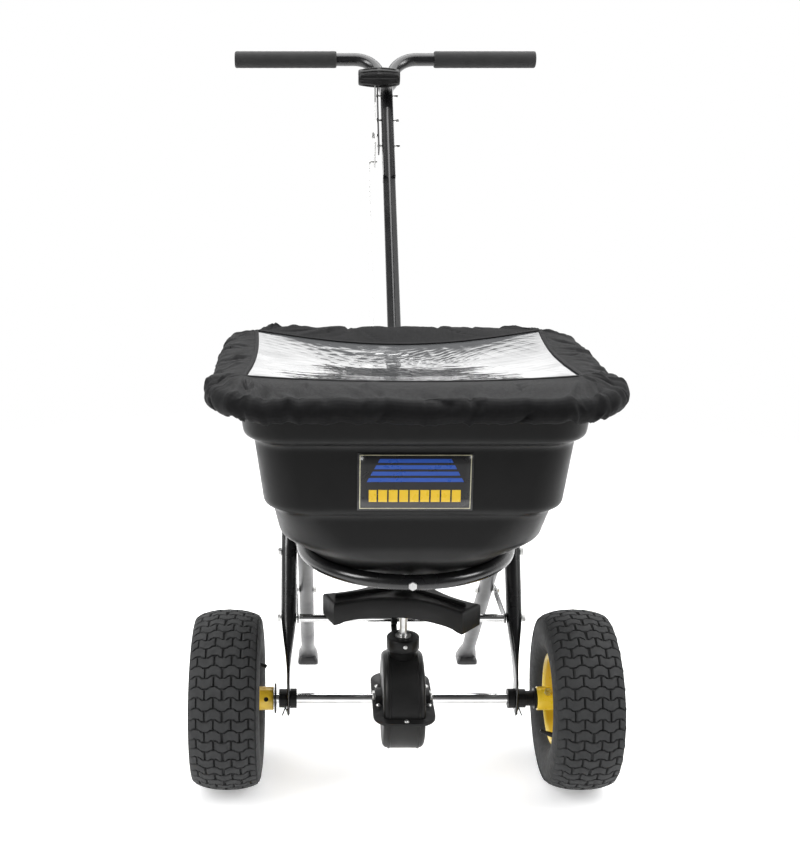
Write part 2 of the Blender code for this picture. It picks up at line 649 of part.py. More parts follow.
def make_gate(parent):
    """A plate that slides back under the outlet plate, with ports that line up when it is open."""
    travel = 2 * CRANK_GATE_ARM * math.sin(CRANK_TRAVEL / 2)
    middle_z = GATE_Z + GATE_THICKNESS / 2
    gate = box(place(0, -0.0205, middle_z), (0.1450, 0.131, GATE_THICKNESS))
    gate = add_object("shutoff_gate", gate, "zinc", parent, smooth=False)
    tip_y = crank_point(CRANK_GATE_ARM, -CRANK_TRAVEL / 2).y - AXLE_Y
    tongue = box(place(CRANK_X, (0.045 + tip_y + 0.011) / 2, middle_z),
                 (0.0160, tip_y + 0.011 - 0.045, 0.0026))
    join(gate, tongue)
    # Two ears straddle the crank's tip, which dips into a slot between them.
    for side in (-1, 1):
        join(gate, box(place(CRANK_X, tip_y + side * 0.0065, middle_z + 0.0031), (0.0150, 0.0030, 0.0066)))
    cut(gate, box(place(CRANK_X, tip_y, middle_z), (0.0040, 0.0094, 0.0300)))
    # The shaft passes through a slot as long as the travel.
    cut(gate, box(place(0, -travel / 2, middle_z), (0.0170, travel + 0.0170, 0.02)))
    for shape in port_shapes(middle_z, GATE_THICKNESS, -travel):
        cut(gate, shape)


# ---------------------------------------------------------------- hopper and cover
# Each tier: height, half width, front, back and corner radius of the outside.
HOPPER_TIERS = (
    (0.6720, 0.2620, -0.2400, 0.2620, 0.080),
    (0.6640, 0.2620, -0.2400, 0.2620, 0.080),
    (0.6638, 0.2400, -0.2190, 0.2360, 0.062),
    (0.6200, 0.2345, -0.2140, 0.2140, 0.060),
    (0.6130, 0.2205, -0.2040, 0.2030, 0.056),
    (0.5180, 0.2080, -0.2010, 0.1600, 0.058),
    (0.5110, 0.1965, -0.1930, 0.1480, 0.065),
    (0.4600, 0.1880, -0.1920, 0.1300, 0.100),
    (0.4420, 0.1790, -0.1840, 0.1260, 0.135),
    (0.4270, 0.1610, -0.1660, 0.1180, 0.138),
    (0.4150, 0.1440, -0.1475, 0.1100, 0.128),
    (0.4050, 0.1300, -0.1320, 0.1000, 0.115),
    (0.3960, 0.1020, -0.1020, 0.0920, 0.094),
    (0.3942, 0.0980, -0.0980, 0.0880, 0.090),
)
COVER_HALF_WIDTH = 0.2885
COVER_FRONT = -0.2620
COVER_BACK = 0.2880
COVER_CORNER = 0.1000
COVER_Z = (0.6550, 0.6920)
COVER_WALL = 0.0050


def rounded_rectangle(z, half_width, front, back, corner, steps=5):
    """Points of a rounded rectangle at height z, anticlockwise from the right side's rear corner."""
    ring = []
    corner = min(corner, half_width - 0.001, (back - front) / 2 - 0.001)
    quarters = ((half_width - corner, back - corner, 0.0), (-half_width + corner, back - corner, 90.0),
                (-half_width + corner, front + corner, 180.0), (half_width - corner, front + corner, 270.0))
    for centre_x, centre_y, start in quarters:
        for i in range(steps + 1):
            angle = math.radians(start + 90.0 * i / steps)
            ring.append(place(centre_x + corner * math.cos(angle), centre_y + corner * math.sin(angle), z))
    return ring


def make_hopper():
    outside = [rounded_rectangle(*tier) for tier in HOPPER_TIERS]
    inside = []
    for z, half_width, front, back, corner in reversed(HOPPER_TIERS[2:]):
        wall = HOPPER_WALL
        lift = 0.0 if z < 0.395 else wall * 0.6
        inside.append(rounded_rectangle(z + lift, half_width - wall, front + wall, back - wall,
                                        corner - wall * 0.9))
    z, half_width, front, back, corner = HOPPER_TIERS[0]
    inset = half_width - HOPPER_TIERS[2][1] + HOPPER_WALL - 0.001
    inside.append(rounded_rectangle(z, half_width - inset, front + inset, back - inset, corner - inset * 0.6))
    add_object("hopper", loft(outside + inside, closed=True), "hopper_plastic")


def make_cover(parent):
    low, high = COVER_Z
    size = (COVER_HALF_WIDTH, COVER_FRONT, COVER_BACK, COVER_CORNER)

    def inset_ring(z, inset):
        half_width, front, back, corner = size
        return rounded_rectangle(z, half_width - inset, front + inset, back - inset, corner - inset)

    outer = loft([inset_ring(low, 0.0), inset_ring(high - 0.012, 0.0), inset_ring(high - 0.004, 0.004),
                  inset_ring(high, 0.016)])
    cover = add_object("hopper_cover", outer, "cover_cloth", parent)
    cut(cover, loft([inset_ring(low - 0.01, COVER_WALL), inset_ring(high - COVER_WALL, COVER_WALL)]))


# ---------------------------------------------------------------- drive
def tooth_share(i):
    """Angle of a toothed outline's i-th point, in teeth; each tooth is 36 percent of its pitch wide."""
    return i // 4 + (-0.20, -0.16, 0.16, 0.20)[i % 4]


def crown_wheel(centre, teeth, inner, outer, back, root, face):
    """A ring about X whose face has square teeth, with a gap between teeth at the top."""
    rings = []
    for i in range(teeth * 4):
        angle = 2 * math.pi * (tooth_share(i) + 0.5) / teeth
        out = Vector((0, -math.sin(angle), math.cos(angle)))
        height = face if i % 4 in (1, 2) else root
        rings.append([centre + out * r + SIDE * x for x, r in
                      ((back, inner), (back, outer), (height, outer), (height, inner))])
    return loft(rings, closed=True)


def pinion_wheel(centre, teeth, root, tip, start, end):
    """A straight-toothed wheel about Z with a tooth that points along -X."""
    outline = []
    for i in range(teeth * 4):
        angle = math.pi + 2 * math.pi * tooth_share(i) / teeth
        radius = tip if i % 4 in (1, 2) else root
        outline.append(Vector((radius * math.cos(angle), radius * math.sin(angle), 0)))
    return loft([[centre + p + Vector((0, 0, z)) for p in outline] for z in (start, end)])


def make_drive(axle_body, spinner_body):
    centre = AXLE.copy()
    add_object("axle", disc(centre, AXLE_RADIUS, -AXLE_END_X, AXLE_END_X, steps=16), "steel", axle_body)
    crown = crown_wheel(centre, GEAR_TEETH, 0.0445, GEAR_RADIUS, -0.0215, GEAR_FACE_X - 0.0040, GEAR_FACE_X)
    crown = add_object("drive_gear", crown, "steel", axle_body, smooth=False)
    join(crown, washer(centre, AXLE_BORE, 0.0450, -0.0205, -0.0170, steps=26))
    join(crown, washer(centre, AXLE_BORE, 0.0170, -0.0270, 0.0090, steps=18))
    shaft = disc(place(0, 0, 0), SHAFT_RADIUS, 0.1650, 0.4080, "Z", 16)
    add_object("impeller_shaft", shaft, "zinc", spinner_body)
    pinion = pinion_wheel(place(0, 0, 0), PINION_TEETH, PINION_RADIUS - 0.0040, PINION_RADIUS, *PINION_Z)
    pinion = add_object("pinion", pinion, "steel", spinner_body, smooth=False)
    cut(pinion, disc(place(0, 0, 0), SHAFT_RADIUS + GAP, 0.15, 0.25, "Z", 16))


def make_gear_case():
    """Two halves of a drum round the axle that part at the axle's height, with a flange and four bosses."""
    flange_half = 0.0030
    for name, sign in (("upper", 1), ("lower", -1)):
        drum = disc(AXLE, CASE_RADIUS, -CASE_HALF_WIDTH, CASE_HALF_WIDTH, steps=38)
        case = add_object(f"gear_case_{name}", drum, "case_plastic")
        outline = rounded_rectangle(0, 0.0480, -0.0890, 0.0890, 0.030)
        heights = sorted((0.0, sign * flange_half))
        slab = loft([[Vector((p.x, p.y, WHEEL_RADIUS + z)) for p in outline] for z in heights])
        join(case, slab)
        join(case, box(AXLE + Vector((0, 0, sign * 0.005)), (0.0840, 0.0260, 0.0200)))
        if sign > 0:
            neck = [(0.150, 0.0), (0.150, NECK_RADIUS), (NECK_TOP_Z - 0.002, NECK_RADIUS),
                    (NECK_TOP_Z, NECK_RADIUS - 0.002), (NECK_TOP_Z, 0.0)]
            join(case, turned(neck, place(0, 0, 0), "Z", 28))
        cut(case,
            disc(AXLE, CASE_RADIUS - CASE_WALL, -CASE_HALF_WIDTH + CASE_WALL, CASE_HALF_WIDTH - CASE_WALL,
                       steps=38))
        if sign > 0:
            cut(case, disc(place(0, 0, 0), 0.0130, 0.20, 0.30, "Z", 20))
        away = box(AXLE - Vector((0, 0, sign * (0.15 - GAP / 2))), (0.3, 0.4, 0.3))
        cut(case, away)
        cut(case, disc(AXLE, AXLE_BORE + 0.0003, -0.1, 0.1, steps=20))
    low, high = 0.2150, NECK_TOP_Z + 0.0015
    bush = washer(place(0, 0, 0), SHAFT_RADIUS + GAP, 0.0130 - GAP, low, high, "Z", 20)
    add_object("shaft_bush", bush, "zinc")


def make_torque_stay():
    """A strap from the cross tie down to the gear case's neck, which stops the case turning with the axle."""
    x = -0.0110
    rings = []
    for y, z in ((TIE[0] + 0.0110, TIE[1] + 0.0100), (TIE[0] + 0.0070, TIE[1] - 0.0190), (0.0275, 0.2230)):
        rings.append([place(x - 0.0045, y - 0.0015, z), place(x + 0.0045, y - 0.0015, z),
                      place(x + 0.0045, y + 0.0015, z), place(x - 0.0045, y + 0.0015, z)])
    stay = add_object("torque_stay", loft(rings), "black_plastic", smooth=False)
    join(stay,
         washer(place(0, *TIE), TIE_RADIUS + GAP, TIE_RADIUS + 0.0035, x - 0.0043, x + 0.0043, steps=16))
    join(stay, washer(place(0, 0, 0), NECK_RADIUS + GAP, NECK_RADIUS + 0.0040, 0.2190, 0.2270, "Z", 28))


def impeller_outline(z, inset=0.0):
    """Three blunt arms; each side between two arms bends in as a quadratic curve through its waist."""
    reach, half = IMPELLER_RADIUS - inset, IMPELLER_ARM_WIDTH / 2 - inset
    corners = []
    for i in range(3):
        ahead = Matrix.Rotation(math.radians(IMPELLER_TURN + 120 * i), 3, "Z") @ SIDE
        across = Vector((-ahead.y, ahead.x, 0))
        corners.append((ahead * reach - across * half, ahead * reach + across * half))
    points = []
    for i, (first, second) in enumerate(corners):
        after = corners[(i + 1) % 3][0]
        waist = Matrix.Rotation(math.radians(IMPELLER_TURN + 120 * i + 60), 3, "Z") @ SIDE
        control = waist * (2 * (IMPELLER_WAIST - inset)) - (second + after) / 2
        points += [first, second]
        for t in (0.17, 0.33, 0.5, 0.67, 0.83):
            points.append(second * (1 - t) ** 2 + control * (2 * t * (1 - t)) + after * t ** 2)
    return [place(p.x, p.y, z) for p in points]


def make_impeller(parent):
    """A three-armed dish with a turned-down wall, a rib on each arm and a hub on the shaft."""
    low, high = IMPELLER_Z
    centre = place(0, 0, 0)
    dish = loft([impeller_outline(low), impeller_outline(high - 0.003), impeller_outline(high, 0.003)])
    impeller = add_object("impeller", dish, "black_plastic", parent, smooth=False)
    cut(impeller, loft([impeller_outline(low - 0.01, IMPELLER_WALL),
                        impeller_outline(high - IMPELLER_WALL, IMPELLER_WALL)]))
    hub = [(low + 0.004, 0.0), (low + 0.004, 0.0140), (high, 0.0200), (high + 0.018, 0.0170), (high + 0.018, 0.0)]
    join(impeller, turned(hub, centre, "Z", 16))
    for i in range(3):
        rib = box((IMPELLER_RADIUS / 2 + 0.002, 0, high + 0.001), (IMPELLER_RADIUS - 0.022, 0.0040, 0.0100))
        turn = Matrix.Rotation(math.radians(IMPELLER_TURN + 120 * i), 3, "Z")
        bmesh.ops.rotate(rib, verts=rib.verts, cent=(0, 0, 0), matrix=turn)
        bmesh.ops.translate(rib, verts=rib.verts, vec=centre)
        join(impeller, rib)
    cut(impeller, disc(centre, SHAFT_RADIUS + GAP, 0.2, 0.5, "Z", 16))
    agitator = disc(place(0, 0, 0), 0.0110, 0.3980, 0.4220, "Z", 16)
    agitator = add_object("agitator", agitator, "steel", parent)
    join(agitator, rod(place(-0.032, -0.006, 0.414), place(0.034, 0.006, 0.414), 0.0024, 8))
    cut(agitator, disc(place(0, 0, 0), SHAFT_RADIUS + GAP, 0.39, 0.4090, "Z", 16))


# ---------------------------------------------------------------- wheels
def make_bearings():
    for name, sign in (("left", -1), ("right", 1)):
        groove = FLAT_THICKNESS / 2 + GAP
        profile = [(FRAME_X - 0.0130, AXLE_BORE), (FRAME_X - 0.0130, 0.0155), (FRAME_X - groove, 0.0155),
                   (FRAME_X - groove, 0.0120), (FRAME_X + groove, 0.0120), (FRAME_X + groove, 0.0148),
                   (FRAME_X + 0.0150, 0.0148), (FRAME_X + 0.0150, AXLE_BORE)]
        shape = turned([(sign * x, r) for x, r in profile], AXLE, steps=20, closed=True)
        add_object(f"axle_bearing_{name}", shape, "black_plastic")


def make_washers(axle_body):
    add_object("thrust_washer", washer(AXLE, AXLE_BORE, 0.0235, -0.2020, -0.1995), "black_plastic", axle_body)
    profile = [(0.1955, AXLE_BORE), (0.1955, 0.0120), (0.2085, 0.0120), (0.2085, 0.0165), (0.2122, 0.0165),
               (0.2122, AXLE_BORE)]
    add_object("axle_spacer", turned(profile, AXLE, closed=True), "black_plastic", axle_body)


def make_wheel(name, sign, hub_start, parent):
    """A two-piece pressed rim on a tube hub, with a turf tyre round it."""
    face = sign * WHEEL_X

    def at(offset, radius):
        return face + sign * offset, radius

    inner = hub_start - WHEEL_X
    half, lip = RIM_HALF_WIDTH, 0.0715
    profile = [at(inner, AXLE_BORE), at(inner, HUB_RADIUS), at(-0.0020, HUB_RADIUS), at(-0.0020, 0.0560),
               at(-half + 0.004, 0.0600), at(-half, 0.0680), at(-half, lip), at(-half + 0.0022, lip),
               at(-half + 0.0045, BEAD_RADIUS - GAP), at(half - 0.0045, BEAD_RADIUS - GAP),
               at(half - 0.0022, lip),
               at(half, lip), at(half, 0.0680), at(half - 0.004, 0.0600), at(0.0020, 0.0560),
               at(0.0020, HUB_RADIUS),
               at(0.0380, HUB_RADIUS), at(0.0380, AXLE_BORE)]
    rim = add_object(f"rim_{name}", turned(profile, AXLE, steps=24, closed=True), "yellow_paint", parent)
    bead = half - 0.0050
    side = [(bead, BEAD_RADIUS), (bead, 0.0725), (0.0450, 0.0780), (0.0525, 0.0920),
            (TYRE_HALF_WIDTH, 0.1040),
            (0.0530, 0.1180), (0.0470, 0.1300), (0.0380, 0.1360), (0.0200, 0.1392), (0.0, WHEEL_RADIUS)]
    outline = [at(x, r) for x, r in side] + [at(-x, r) for x, r in reversed(side[:-1])]
    add_object(f"tyre_{name}", turned(outline, AXLE, steps=36, closed=True), "rubber", parent)
    return rim


def make_wheel_trim(axle_body):
    """The pin that drives the right wheel, a tyre valve, and the caps that hold both wheels on the axle."""
    pin_x = 0.2290
    pin = bolt(Vector((pin_x, AXLE.y, AXLE.z)), -HUB_RADIUS - GAP, HUB_RADIUS + GAP, 0.0029, 0.0060, 0.0040,
               0.0045,
               "Z")
    turn = Matrix.Rotation(math.radians(35), 3, "X")
    bmesh.ops.rotate(pin, verts=pin.verts, cent=AXLE, matrix=turn)
    add_object("hub_bolt", pin, "zinc", axle_body)
    for owner in ("rim_right", "axle"):
        hole = disc(Vector((pin_x, AXLE.y, AXLE.z)), 0.0033, -0.03, 0.03, "Z", 10)
        bmesh.ops.rotate(hole, verts=hole.verts, cent=AXLE, matrix=turn)
        cut(bpy.data.objects[owner], hole)
    for name, sign, parent in (("left", -1, axle_body), ("right", 1, axle_body)):
        start = WHEEL_X + 0.0380 + GAP
        shape = washer(AXLE, AXLE_BORE, 0.0135, *sorted((sign * start, sign * (start + 0.0035))), steps=20)
        add_object(f"wheel_collar_{name}", shape, "zinc", parent)


def main():
    clear_scene()
    axle_body = add_empty("axle_spin_axis", AXLE)
    free_body = add_empty("left_wheel_axis", AXLE - SIDE * WHEEL_X)
    spinner_body = add_empty("spinner_axis", place(0, 0, 0.3165))
    lever_body = add_empty("lever_axis", on_post(LEVER_X, PIVOT_S))
    rod_body = add_empty("rod_axis", on_post(ROD_X, 0.3, ROD_N))
    crank_body = add_empty("crank_axis", place(CRANK_X, *CRANK_PIVOT))
    gate_body = add_empty("gate_axis", place(0, 0, GATE_Z))
    cover_body = add_empty("cover_axis", place(0, 0, COVER_Z[1]))

    make_main_frame()
    make_rear_leg("rear_leg_left", -1)
    make_rear_leg("rear_leg_right", 1)
    make_ring()
    make_braces_and_tie()
    make_frame_bolts()
    front_bolt = bolt(place(0, RING_Y - RING_RADIUS, RING_Z), -RING_TUBE - GAP, RING_TUBE + 2 * GAP, 0.0031,
                      0.0064,
                      0.0045, 0.0040, "Y")
    add_object("ring_front_bolt", front_bolt, "zinc")

    make_handle_tube("handle_tube_left", -1)
    make_handle_tube("handle_tube_right", 1)
    make_grip("grip_left", -1)
    make_grip("grip_right", 1)
    make_post()
    make_handle_bolts()
    make_lever(lever_body)
    make_lever_bracket()
    make_control_rod(rod_body)
    make_crank(crank_body)
    make_crank_bracket()
    make_outlet()
    make_gate(gate_body)
    make_hopper()
    make_cover(cover_body)

    make_drive(axle_body, spinner_body)
    make_gear_case()
    make_torque_stay()
    make_impeller(spinner_body)
    make_bearings()
    make_washers(axle_body)
    make_wheel("left", -1, LEFT_HUB_X, free_body)
    make_wheel("right", 1, RIGHT_HUB_X, axle_body)
    make_wheel_trim(axle_body)


main()
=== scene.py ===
"""Looks of a push broadcast spreader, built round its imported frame.

Each piece is a surface worked out with numpy: a grid of points that is a function of two parameters.
Metres, +Z up, X along the axle, -Y forwards.
"""

import json
import math

import bmesh
import bpy
import numpy as np
from bpy.props import FloatProperty, FloatVectorProperty, IntProperty, PointerProperty
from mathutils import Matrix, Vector


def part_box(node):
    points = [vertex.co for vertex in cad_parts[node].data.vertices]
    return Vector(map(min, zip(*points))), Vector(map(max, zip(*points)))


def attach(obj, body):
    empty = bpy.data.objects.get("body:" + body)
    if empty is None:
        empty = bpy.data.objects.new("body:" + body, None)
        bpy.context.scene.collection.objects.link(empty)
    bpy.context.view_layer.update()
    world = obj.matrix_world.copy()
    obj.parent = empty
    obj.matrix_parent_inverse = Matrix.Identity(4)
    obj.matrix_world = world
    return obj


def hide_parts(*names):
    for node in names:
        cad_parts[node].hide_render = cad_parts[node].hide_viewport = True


bl_info = {
    "name": "Broadcast Spreader Looks",
    "version": (1, 0, 0),
    "blender": (4, 5, 0),
    "location": "3D View > Sidebar > Spreader",
    "description": "Builds the tyres, hopper, cover, frame and gear case of a push spreader round its frame",
    "category": "Add Mesh",
}

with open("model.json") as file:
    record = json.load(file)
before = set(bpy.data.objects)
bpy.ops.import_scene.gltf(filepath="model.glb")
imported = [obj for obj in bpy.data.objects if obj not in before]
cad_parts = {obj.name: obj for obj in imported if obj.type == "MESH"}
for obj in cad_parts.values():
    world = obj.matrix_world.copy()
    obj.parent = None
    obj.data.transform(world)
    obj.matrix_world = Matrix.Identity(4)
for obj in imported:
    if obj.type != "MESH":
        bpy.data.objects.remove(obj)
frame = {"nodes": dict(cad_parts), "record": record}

SIDES = ("left", "right")
SIGNS = {"left": -1.0, "right": 1.0}
FINISHES = {}  # slot or finish name -> Finish, filled by make_finishes


def box_of(node):
    """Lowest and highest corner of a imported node's box."""
    low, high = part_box(node)
    return np.array(low), np.array(high)


def middle_of(node):
    """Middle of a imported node's box."""
    low, high = box_of(node)
    return (low + high) / 2


AXLE = middle_of("axle")
WHEEL_RADIUS = float(box_of("tyre_left")[1][2] - AXLE[2])
WHEEL_X = float(middle_of("tyre_right")[0])
TUBE = 0.0127  # radius of the frame's tubes
POST_LEAN = 0.949  # how far the handle post runs back for each metre up
POST_ALONG = np.array([0.0, POST_LEAN, 1.0]) / math.hypot(POST_LEAN, 1.0)
POST_FRONT = np.array([0.0, -POST_ALONG[2], POST_ALONG[1]])
POST_BASE = np.array([0.0, AXLE[1] + 0.160, 0.464])
SIDE = np.array([1.0, 0.0, 0.0])


def place(x, y, z):
    """A point from its place beside the axle's vertical plane."""
    return np.array([x, AXLE[1] + y, z])


def on_post(x, s, n=0.0):
    """A point at s along the handle post and n in front of it."""
    return POST_BASE + SIDE * x + POST_ALONG * s + POST_FRONT * n


# ---------------------------------------------------------------- shader graphs
class Wire:
    """An output socket that takes part in arithmetic; each operator adds one Math node."""

    def __init__(self, finish, socket):
        self.finish = finish
        self.socket = socket

    def maths(self, operation, *values):
        """Adds a Math node; with no values it works on this socket alone."""
        values = values or (self,)
        node = self.finish.tree.nodes.new("ShaderNodeMath")
        node.operation = operation
        for slot, value in zip(node.inputs, values):
            self.finish.feed(slot, value)
        return Wire(self.finish, node.outputs[0])

    def __add__(self, other):
        return self.maths("ADD", self, other)

    def __sub__(self, other):
        return self.maths("SUBTRACT", self, other)

    def __rsub__(self, other):
        return self.maths("SUBTRACT", other, self)

    def __mul__(self, other):
        return self.maths("MULTIPLY", self, other)

    def __gt__(self, other):
        return self.maths("GREATER_THAN", self, other)

    def __lt__(self, other):
        return self.maths("LESS_THAN", self, other)

    def wave(self, period):
        """A sine wave of the value."""
        return (self * (2 * math.pi / period)).maths("SINE")

    def absolute(self):
        return self.maths("ABSOLUTE")

    def fraction(self):
        return self.maths("FRACT")


class Finish:
    """One material: a Principled shader and the nodes that feed it."""

    def __init__(self, name, colour, roughness, metallic=0.0, **constants):
        self.material = bpy.data.materials.new(name)
        self.material.use_nodes = True
        self.tree = self.material.node_tree
        self.shader = self.tree.nodes["Principled BSDF"]
        self.set("Base Color", (*colour, 1.0))
        self.set("Roughness", roughness)
        self.set("Metallic", metallic)
        for key, value in constants.items():
            self.set(key.replace("_", " ").title().replace("Ior", "IOR"), value)

    def feed(self, slot, value):
        """Links a wire to a socket, or sets the socket to a constant."""
        if isinstance(value, Wire):
            self.tree.links.new(value.socket, slot)
        else:
            slot.default_value = value

    def set(self, key, value):
        """Feeds one input of the Principled shader."""
        self.feed(self.shader.inputs[key], value)
        return self

    def node(self, kind, settings=None, output=0, **values):
        """Adds a node of a kind, its settings first and then the values or wires of its sockets."""
        node = self.tree.nodes.new("ShaderNode" + kind)
        for key, value in (settings or {}).items():
            setattr(node, key, value)
        for key, value in values.items():
            slot = next(s for s in node.inputs if s.enabled and s.name.lower().replace(" ", "_") == key)
            self.feed(slot, value)
        return Wire(self, node.outputs[output])

    def place(self):
        """Object coordinates."""
        return self.node("TexCoord", output=3)

    def uv(self):
        """The piece's own UV map, in metres unless its maker says otherwise."""
        return self.node("TexCoord", output=2)

    def axis(self, vector, index):
        """One component of a vector."""
        split = self.tree.nodes.new("ShaderNodeSeparateXYZ")
        self.feed(split.inputs[0], vector)
        return Wire(self, split.outputs[index])

    def noise(self, scale, detail=3.0, roughness=0.55, vector=None, stretch=None):
        """Noise at so many grains a metre, stretched along the axes where a factor is small."""
        vector = vector or self.place()
        if stretch:
            vector = self.node("Mapping", vector=vector, scale=stretch)
        return self.node("TexNoise", vector=vector, scale=scale, detail=detail, roughness=roughness)

    def range(self, value, low, high, to_low, to_high):
        """Maps low..high to to_low..to_high, clamped."""
        return self.node("MapRange", {"clamp": True}, value=value, from_min=low, from_max=high,
                         to_min=to_low, to_max=to_high)

    def blend(self, factor, first, second):
        """Mixes two colours by a factor."""
        node = self.tree.nodes.new("ShaderNodeMix")
        node.data_type = "RGBA"
        for index, value in ((0, factor), (6, first), (7, second)):
            if not isinstance(value, Wire) and index > 0:
                value = (*value, 1.0)
            self.feed(node.inputs[index], value)
        return Wire(self, node.outputs[2])

    def bump(self, height, distance, strength=1.0):
        """Ends a finish: a bump of the given height in metres feeds its normal."""
        self.set("Normal", self.node("Bump", height=height, distance=distance, strength=strength))
        return self


def painted_steel(name, colour, roughness, speckle):
    """Powder coat: a slight peel, uneven gloss and a trace of dust."""
    f = Finish(name, colour, roughness, coat_weight=0.15, coat_roughness=0.15)
    cloud = f.noise(14.0, 3.0)
    dust = f.range(f.noise(60.0, 5.0), 0.55, 0.80, 0.0, speckle)
    f.set("Base Color", f.blend(dust, colour, (0.20, 0.20, 0.19)))
    f.set("Roughness", f.range(cloud, 0.3, 0.7, roughness * 0.8, roughness * 1.35))
    return f.bump(f.noise(520.0, 2.0), 0.00010, 0.55)


def plated_steel(name, colour, roughness):
    """Zinc plate: cloudy tone, fine drawn lines and uneven shine."""
    f = Finish(name, colour, roughness, 1.0)
    cloud = f.noise(45.0, 4.0)
    lines = f.noise(900.0, 2.0, stretch=(1.0, 1.0, 0.06))
    dark = tuple(c * 0.72 for c in colour)
    f.set("Base Color", f.blend(f.range(cloud, 0.35, 0.7, 0.0, 1.0), colour, dark))
    f.set("Roughness", f.range(cloud * 0.6 + lines * 0.4, 0.3, 0.7, roughness * 0.75, roughness * 1.4))
    return f.bump(lines, 0.00004, 0.5)


def drawn_bar(name, colour, roughness):
    """Bright bar stock: shiny, with faint lines round it."""
    f = Finish(name, colour, roughness, 1.0)
    rings = f.noise(700.0, 2.0, stretch=(1.0, 0.05, 0.05))
    f.set("Roughness", f.range(rings, 0.3, 0.7, roughness * 0.8, roughness * 1.4))
    f.set("Base Color", f.blend(f.range(f.noise(30.0), 0.4, 0.7, 0.0, 0.35), colour, (0.40, 0.40, 0.39)))
    return f.bump(rings, 0.00003, 0.4)


def wheel_enamel(name, colour):
    """Gloss enamel on pressed steel, darker in patches at random."""
    f = Finish(name, colour, 0.30, coat_weight=0.4, coat_roughness=0.08)
    shade = f.range(f.noise(22.0, 4.0), 0.40, 0.80, 0.0, 0.25)
    f.set("Base Color", f.blend(shade, colour, tuple(c * 0.72 for c in colour)))
    f.set("Roughness", f.range(f.noise(90.0, 3.0), 0.3, 0.7, 0.24, 0.42))
    return f.bump(f.noise(420.0, 2.0), 0.00012, 0.5)


def tyre_rubber(name, colour):
    """Moulded rubber: matt, dusty on top, with a fine grain."""
    f = Finish(name, colour, 0.78, specular_ior_level=0.35)
    dusty = f.range(f.noise(38.0, 5.0, 0.65), 0.40, 0.75, 0.0, 0.55)
    f.set("Base Color", f.blend(dusty, colour, tuple(c * 1.55 for c in colour)))
    f.set("Roughness", f.range(f.noise(120.0, 4.0), 0.3, 0.7, 0.68, 0.88))
    return f.bump(f.noise(1100.0, 4.0) * 0.6 + f.noise(240.0, 3.0) * 0.4, 0.00022, 0.7)


def moulded_plastic(name, colour, roughness, grain, depth):
    """Black polyethylene with a grained skin and soft flow marks."""
    f = Finish(name, colour, roughness, specular_ior_level=0.24)
    flow = f.noise(7.0, 3.0, stretch=(1.0, 1.0, 0.35))
    f.set("Base Color", f.blend(f.range(flow, 0.35, 0.70, 0.0, 1.0), colour, tuple(c * 1.7 for c in colour)))
    f.set("Roughness", f.range(f.noise(35.0, 4.0), 0.3, 0.7, roughness * 0.85, roughness * 1.2))
    return f.bump(f.noise(grain, 3.0), depth, 0.6)


def foam_rubber(name, colour):
    """Closed-cell foam: matt with tiny open cells."""
    f = Finish(name, colour, 0.92, specular_ior_level=0.25, sheen_weight=0.15, sheen_roughness=0.6)
    cells = f.node("TexVoronoi", {"feature": "F1"}, vector=f.place(), scale=900.0)
    f.set("Base Color", f.blend(f.range(f.noise(40.0), 0.4, 0.7, 0.0, 0.6), colour, tuple(c * 1.6 for c in colour)))
    return f.bump(cells * 0.7 + f.noise(120.0, 3.0) * 0.5, 0.00025, 0.6)


def woven_nylon(name, colour):
    """Plain-weave nylon on its own UV, in metres: two crossed waves, slubs and a soft sheen."""
    f = Finish(name, colour, 0.72, specular_ior_level=0.13, sheen_weight=0.02, sheen_roughness=0.45)
    u, v = f.axis(f.uv(), 0), f.axis(f.uv(), 1)
    weave = (u.wave(0.0016) * v.wave(0.0016)) * 0.5 + 0.5
    slub = f.noise(260.0, 3.0, stretch=(1.0, 0.2, 1.0), vector=f.uv())
    crush = f.noise(42.0, 5.0, 0.62)
    f.set("Base Color", f.blend(f.range(crush, 0.35, 0.75, 0.0, 1.0), colour, tuple(c * 1.7 for c in colour)))
    f.set("Roughness", f.range(weave * 0.5 + slub * 0.5, 0.2, 0.8, 0.62, 0.84))
    return f.bump(weave * 0.25 + slub * 0.25 + crush * 1.6, 0.0011, 0.5)


def clear_vinyl(name, colour):
    """Soft clear sheet: mostly shine over what lies behind it, with crinkles that catch the light."""
    f = Finish(name, colour, 0.07, specular_ior_level=1.0, coat_weight=1.0, coat_roughness=0.03)
    crinkle = f.noise(17.0, 4.0, 0.55, stretch=(1.0, 1.6, 1.0))
    fine = f.noise(90.0, 3.0, 0.5, stretch=(1.0, 1.8, 1.0))
    f.set("Alpha", f.range(crinkle, 0.38, 0.62, 0.80, 0.93))
    f.set("Roughness", f.range(fine, 0.3, 0.7, 0.04, 0.12))
    return f.bump(crinkle + fine * 0.15, 0.005, 0.18)


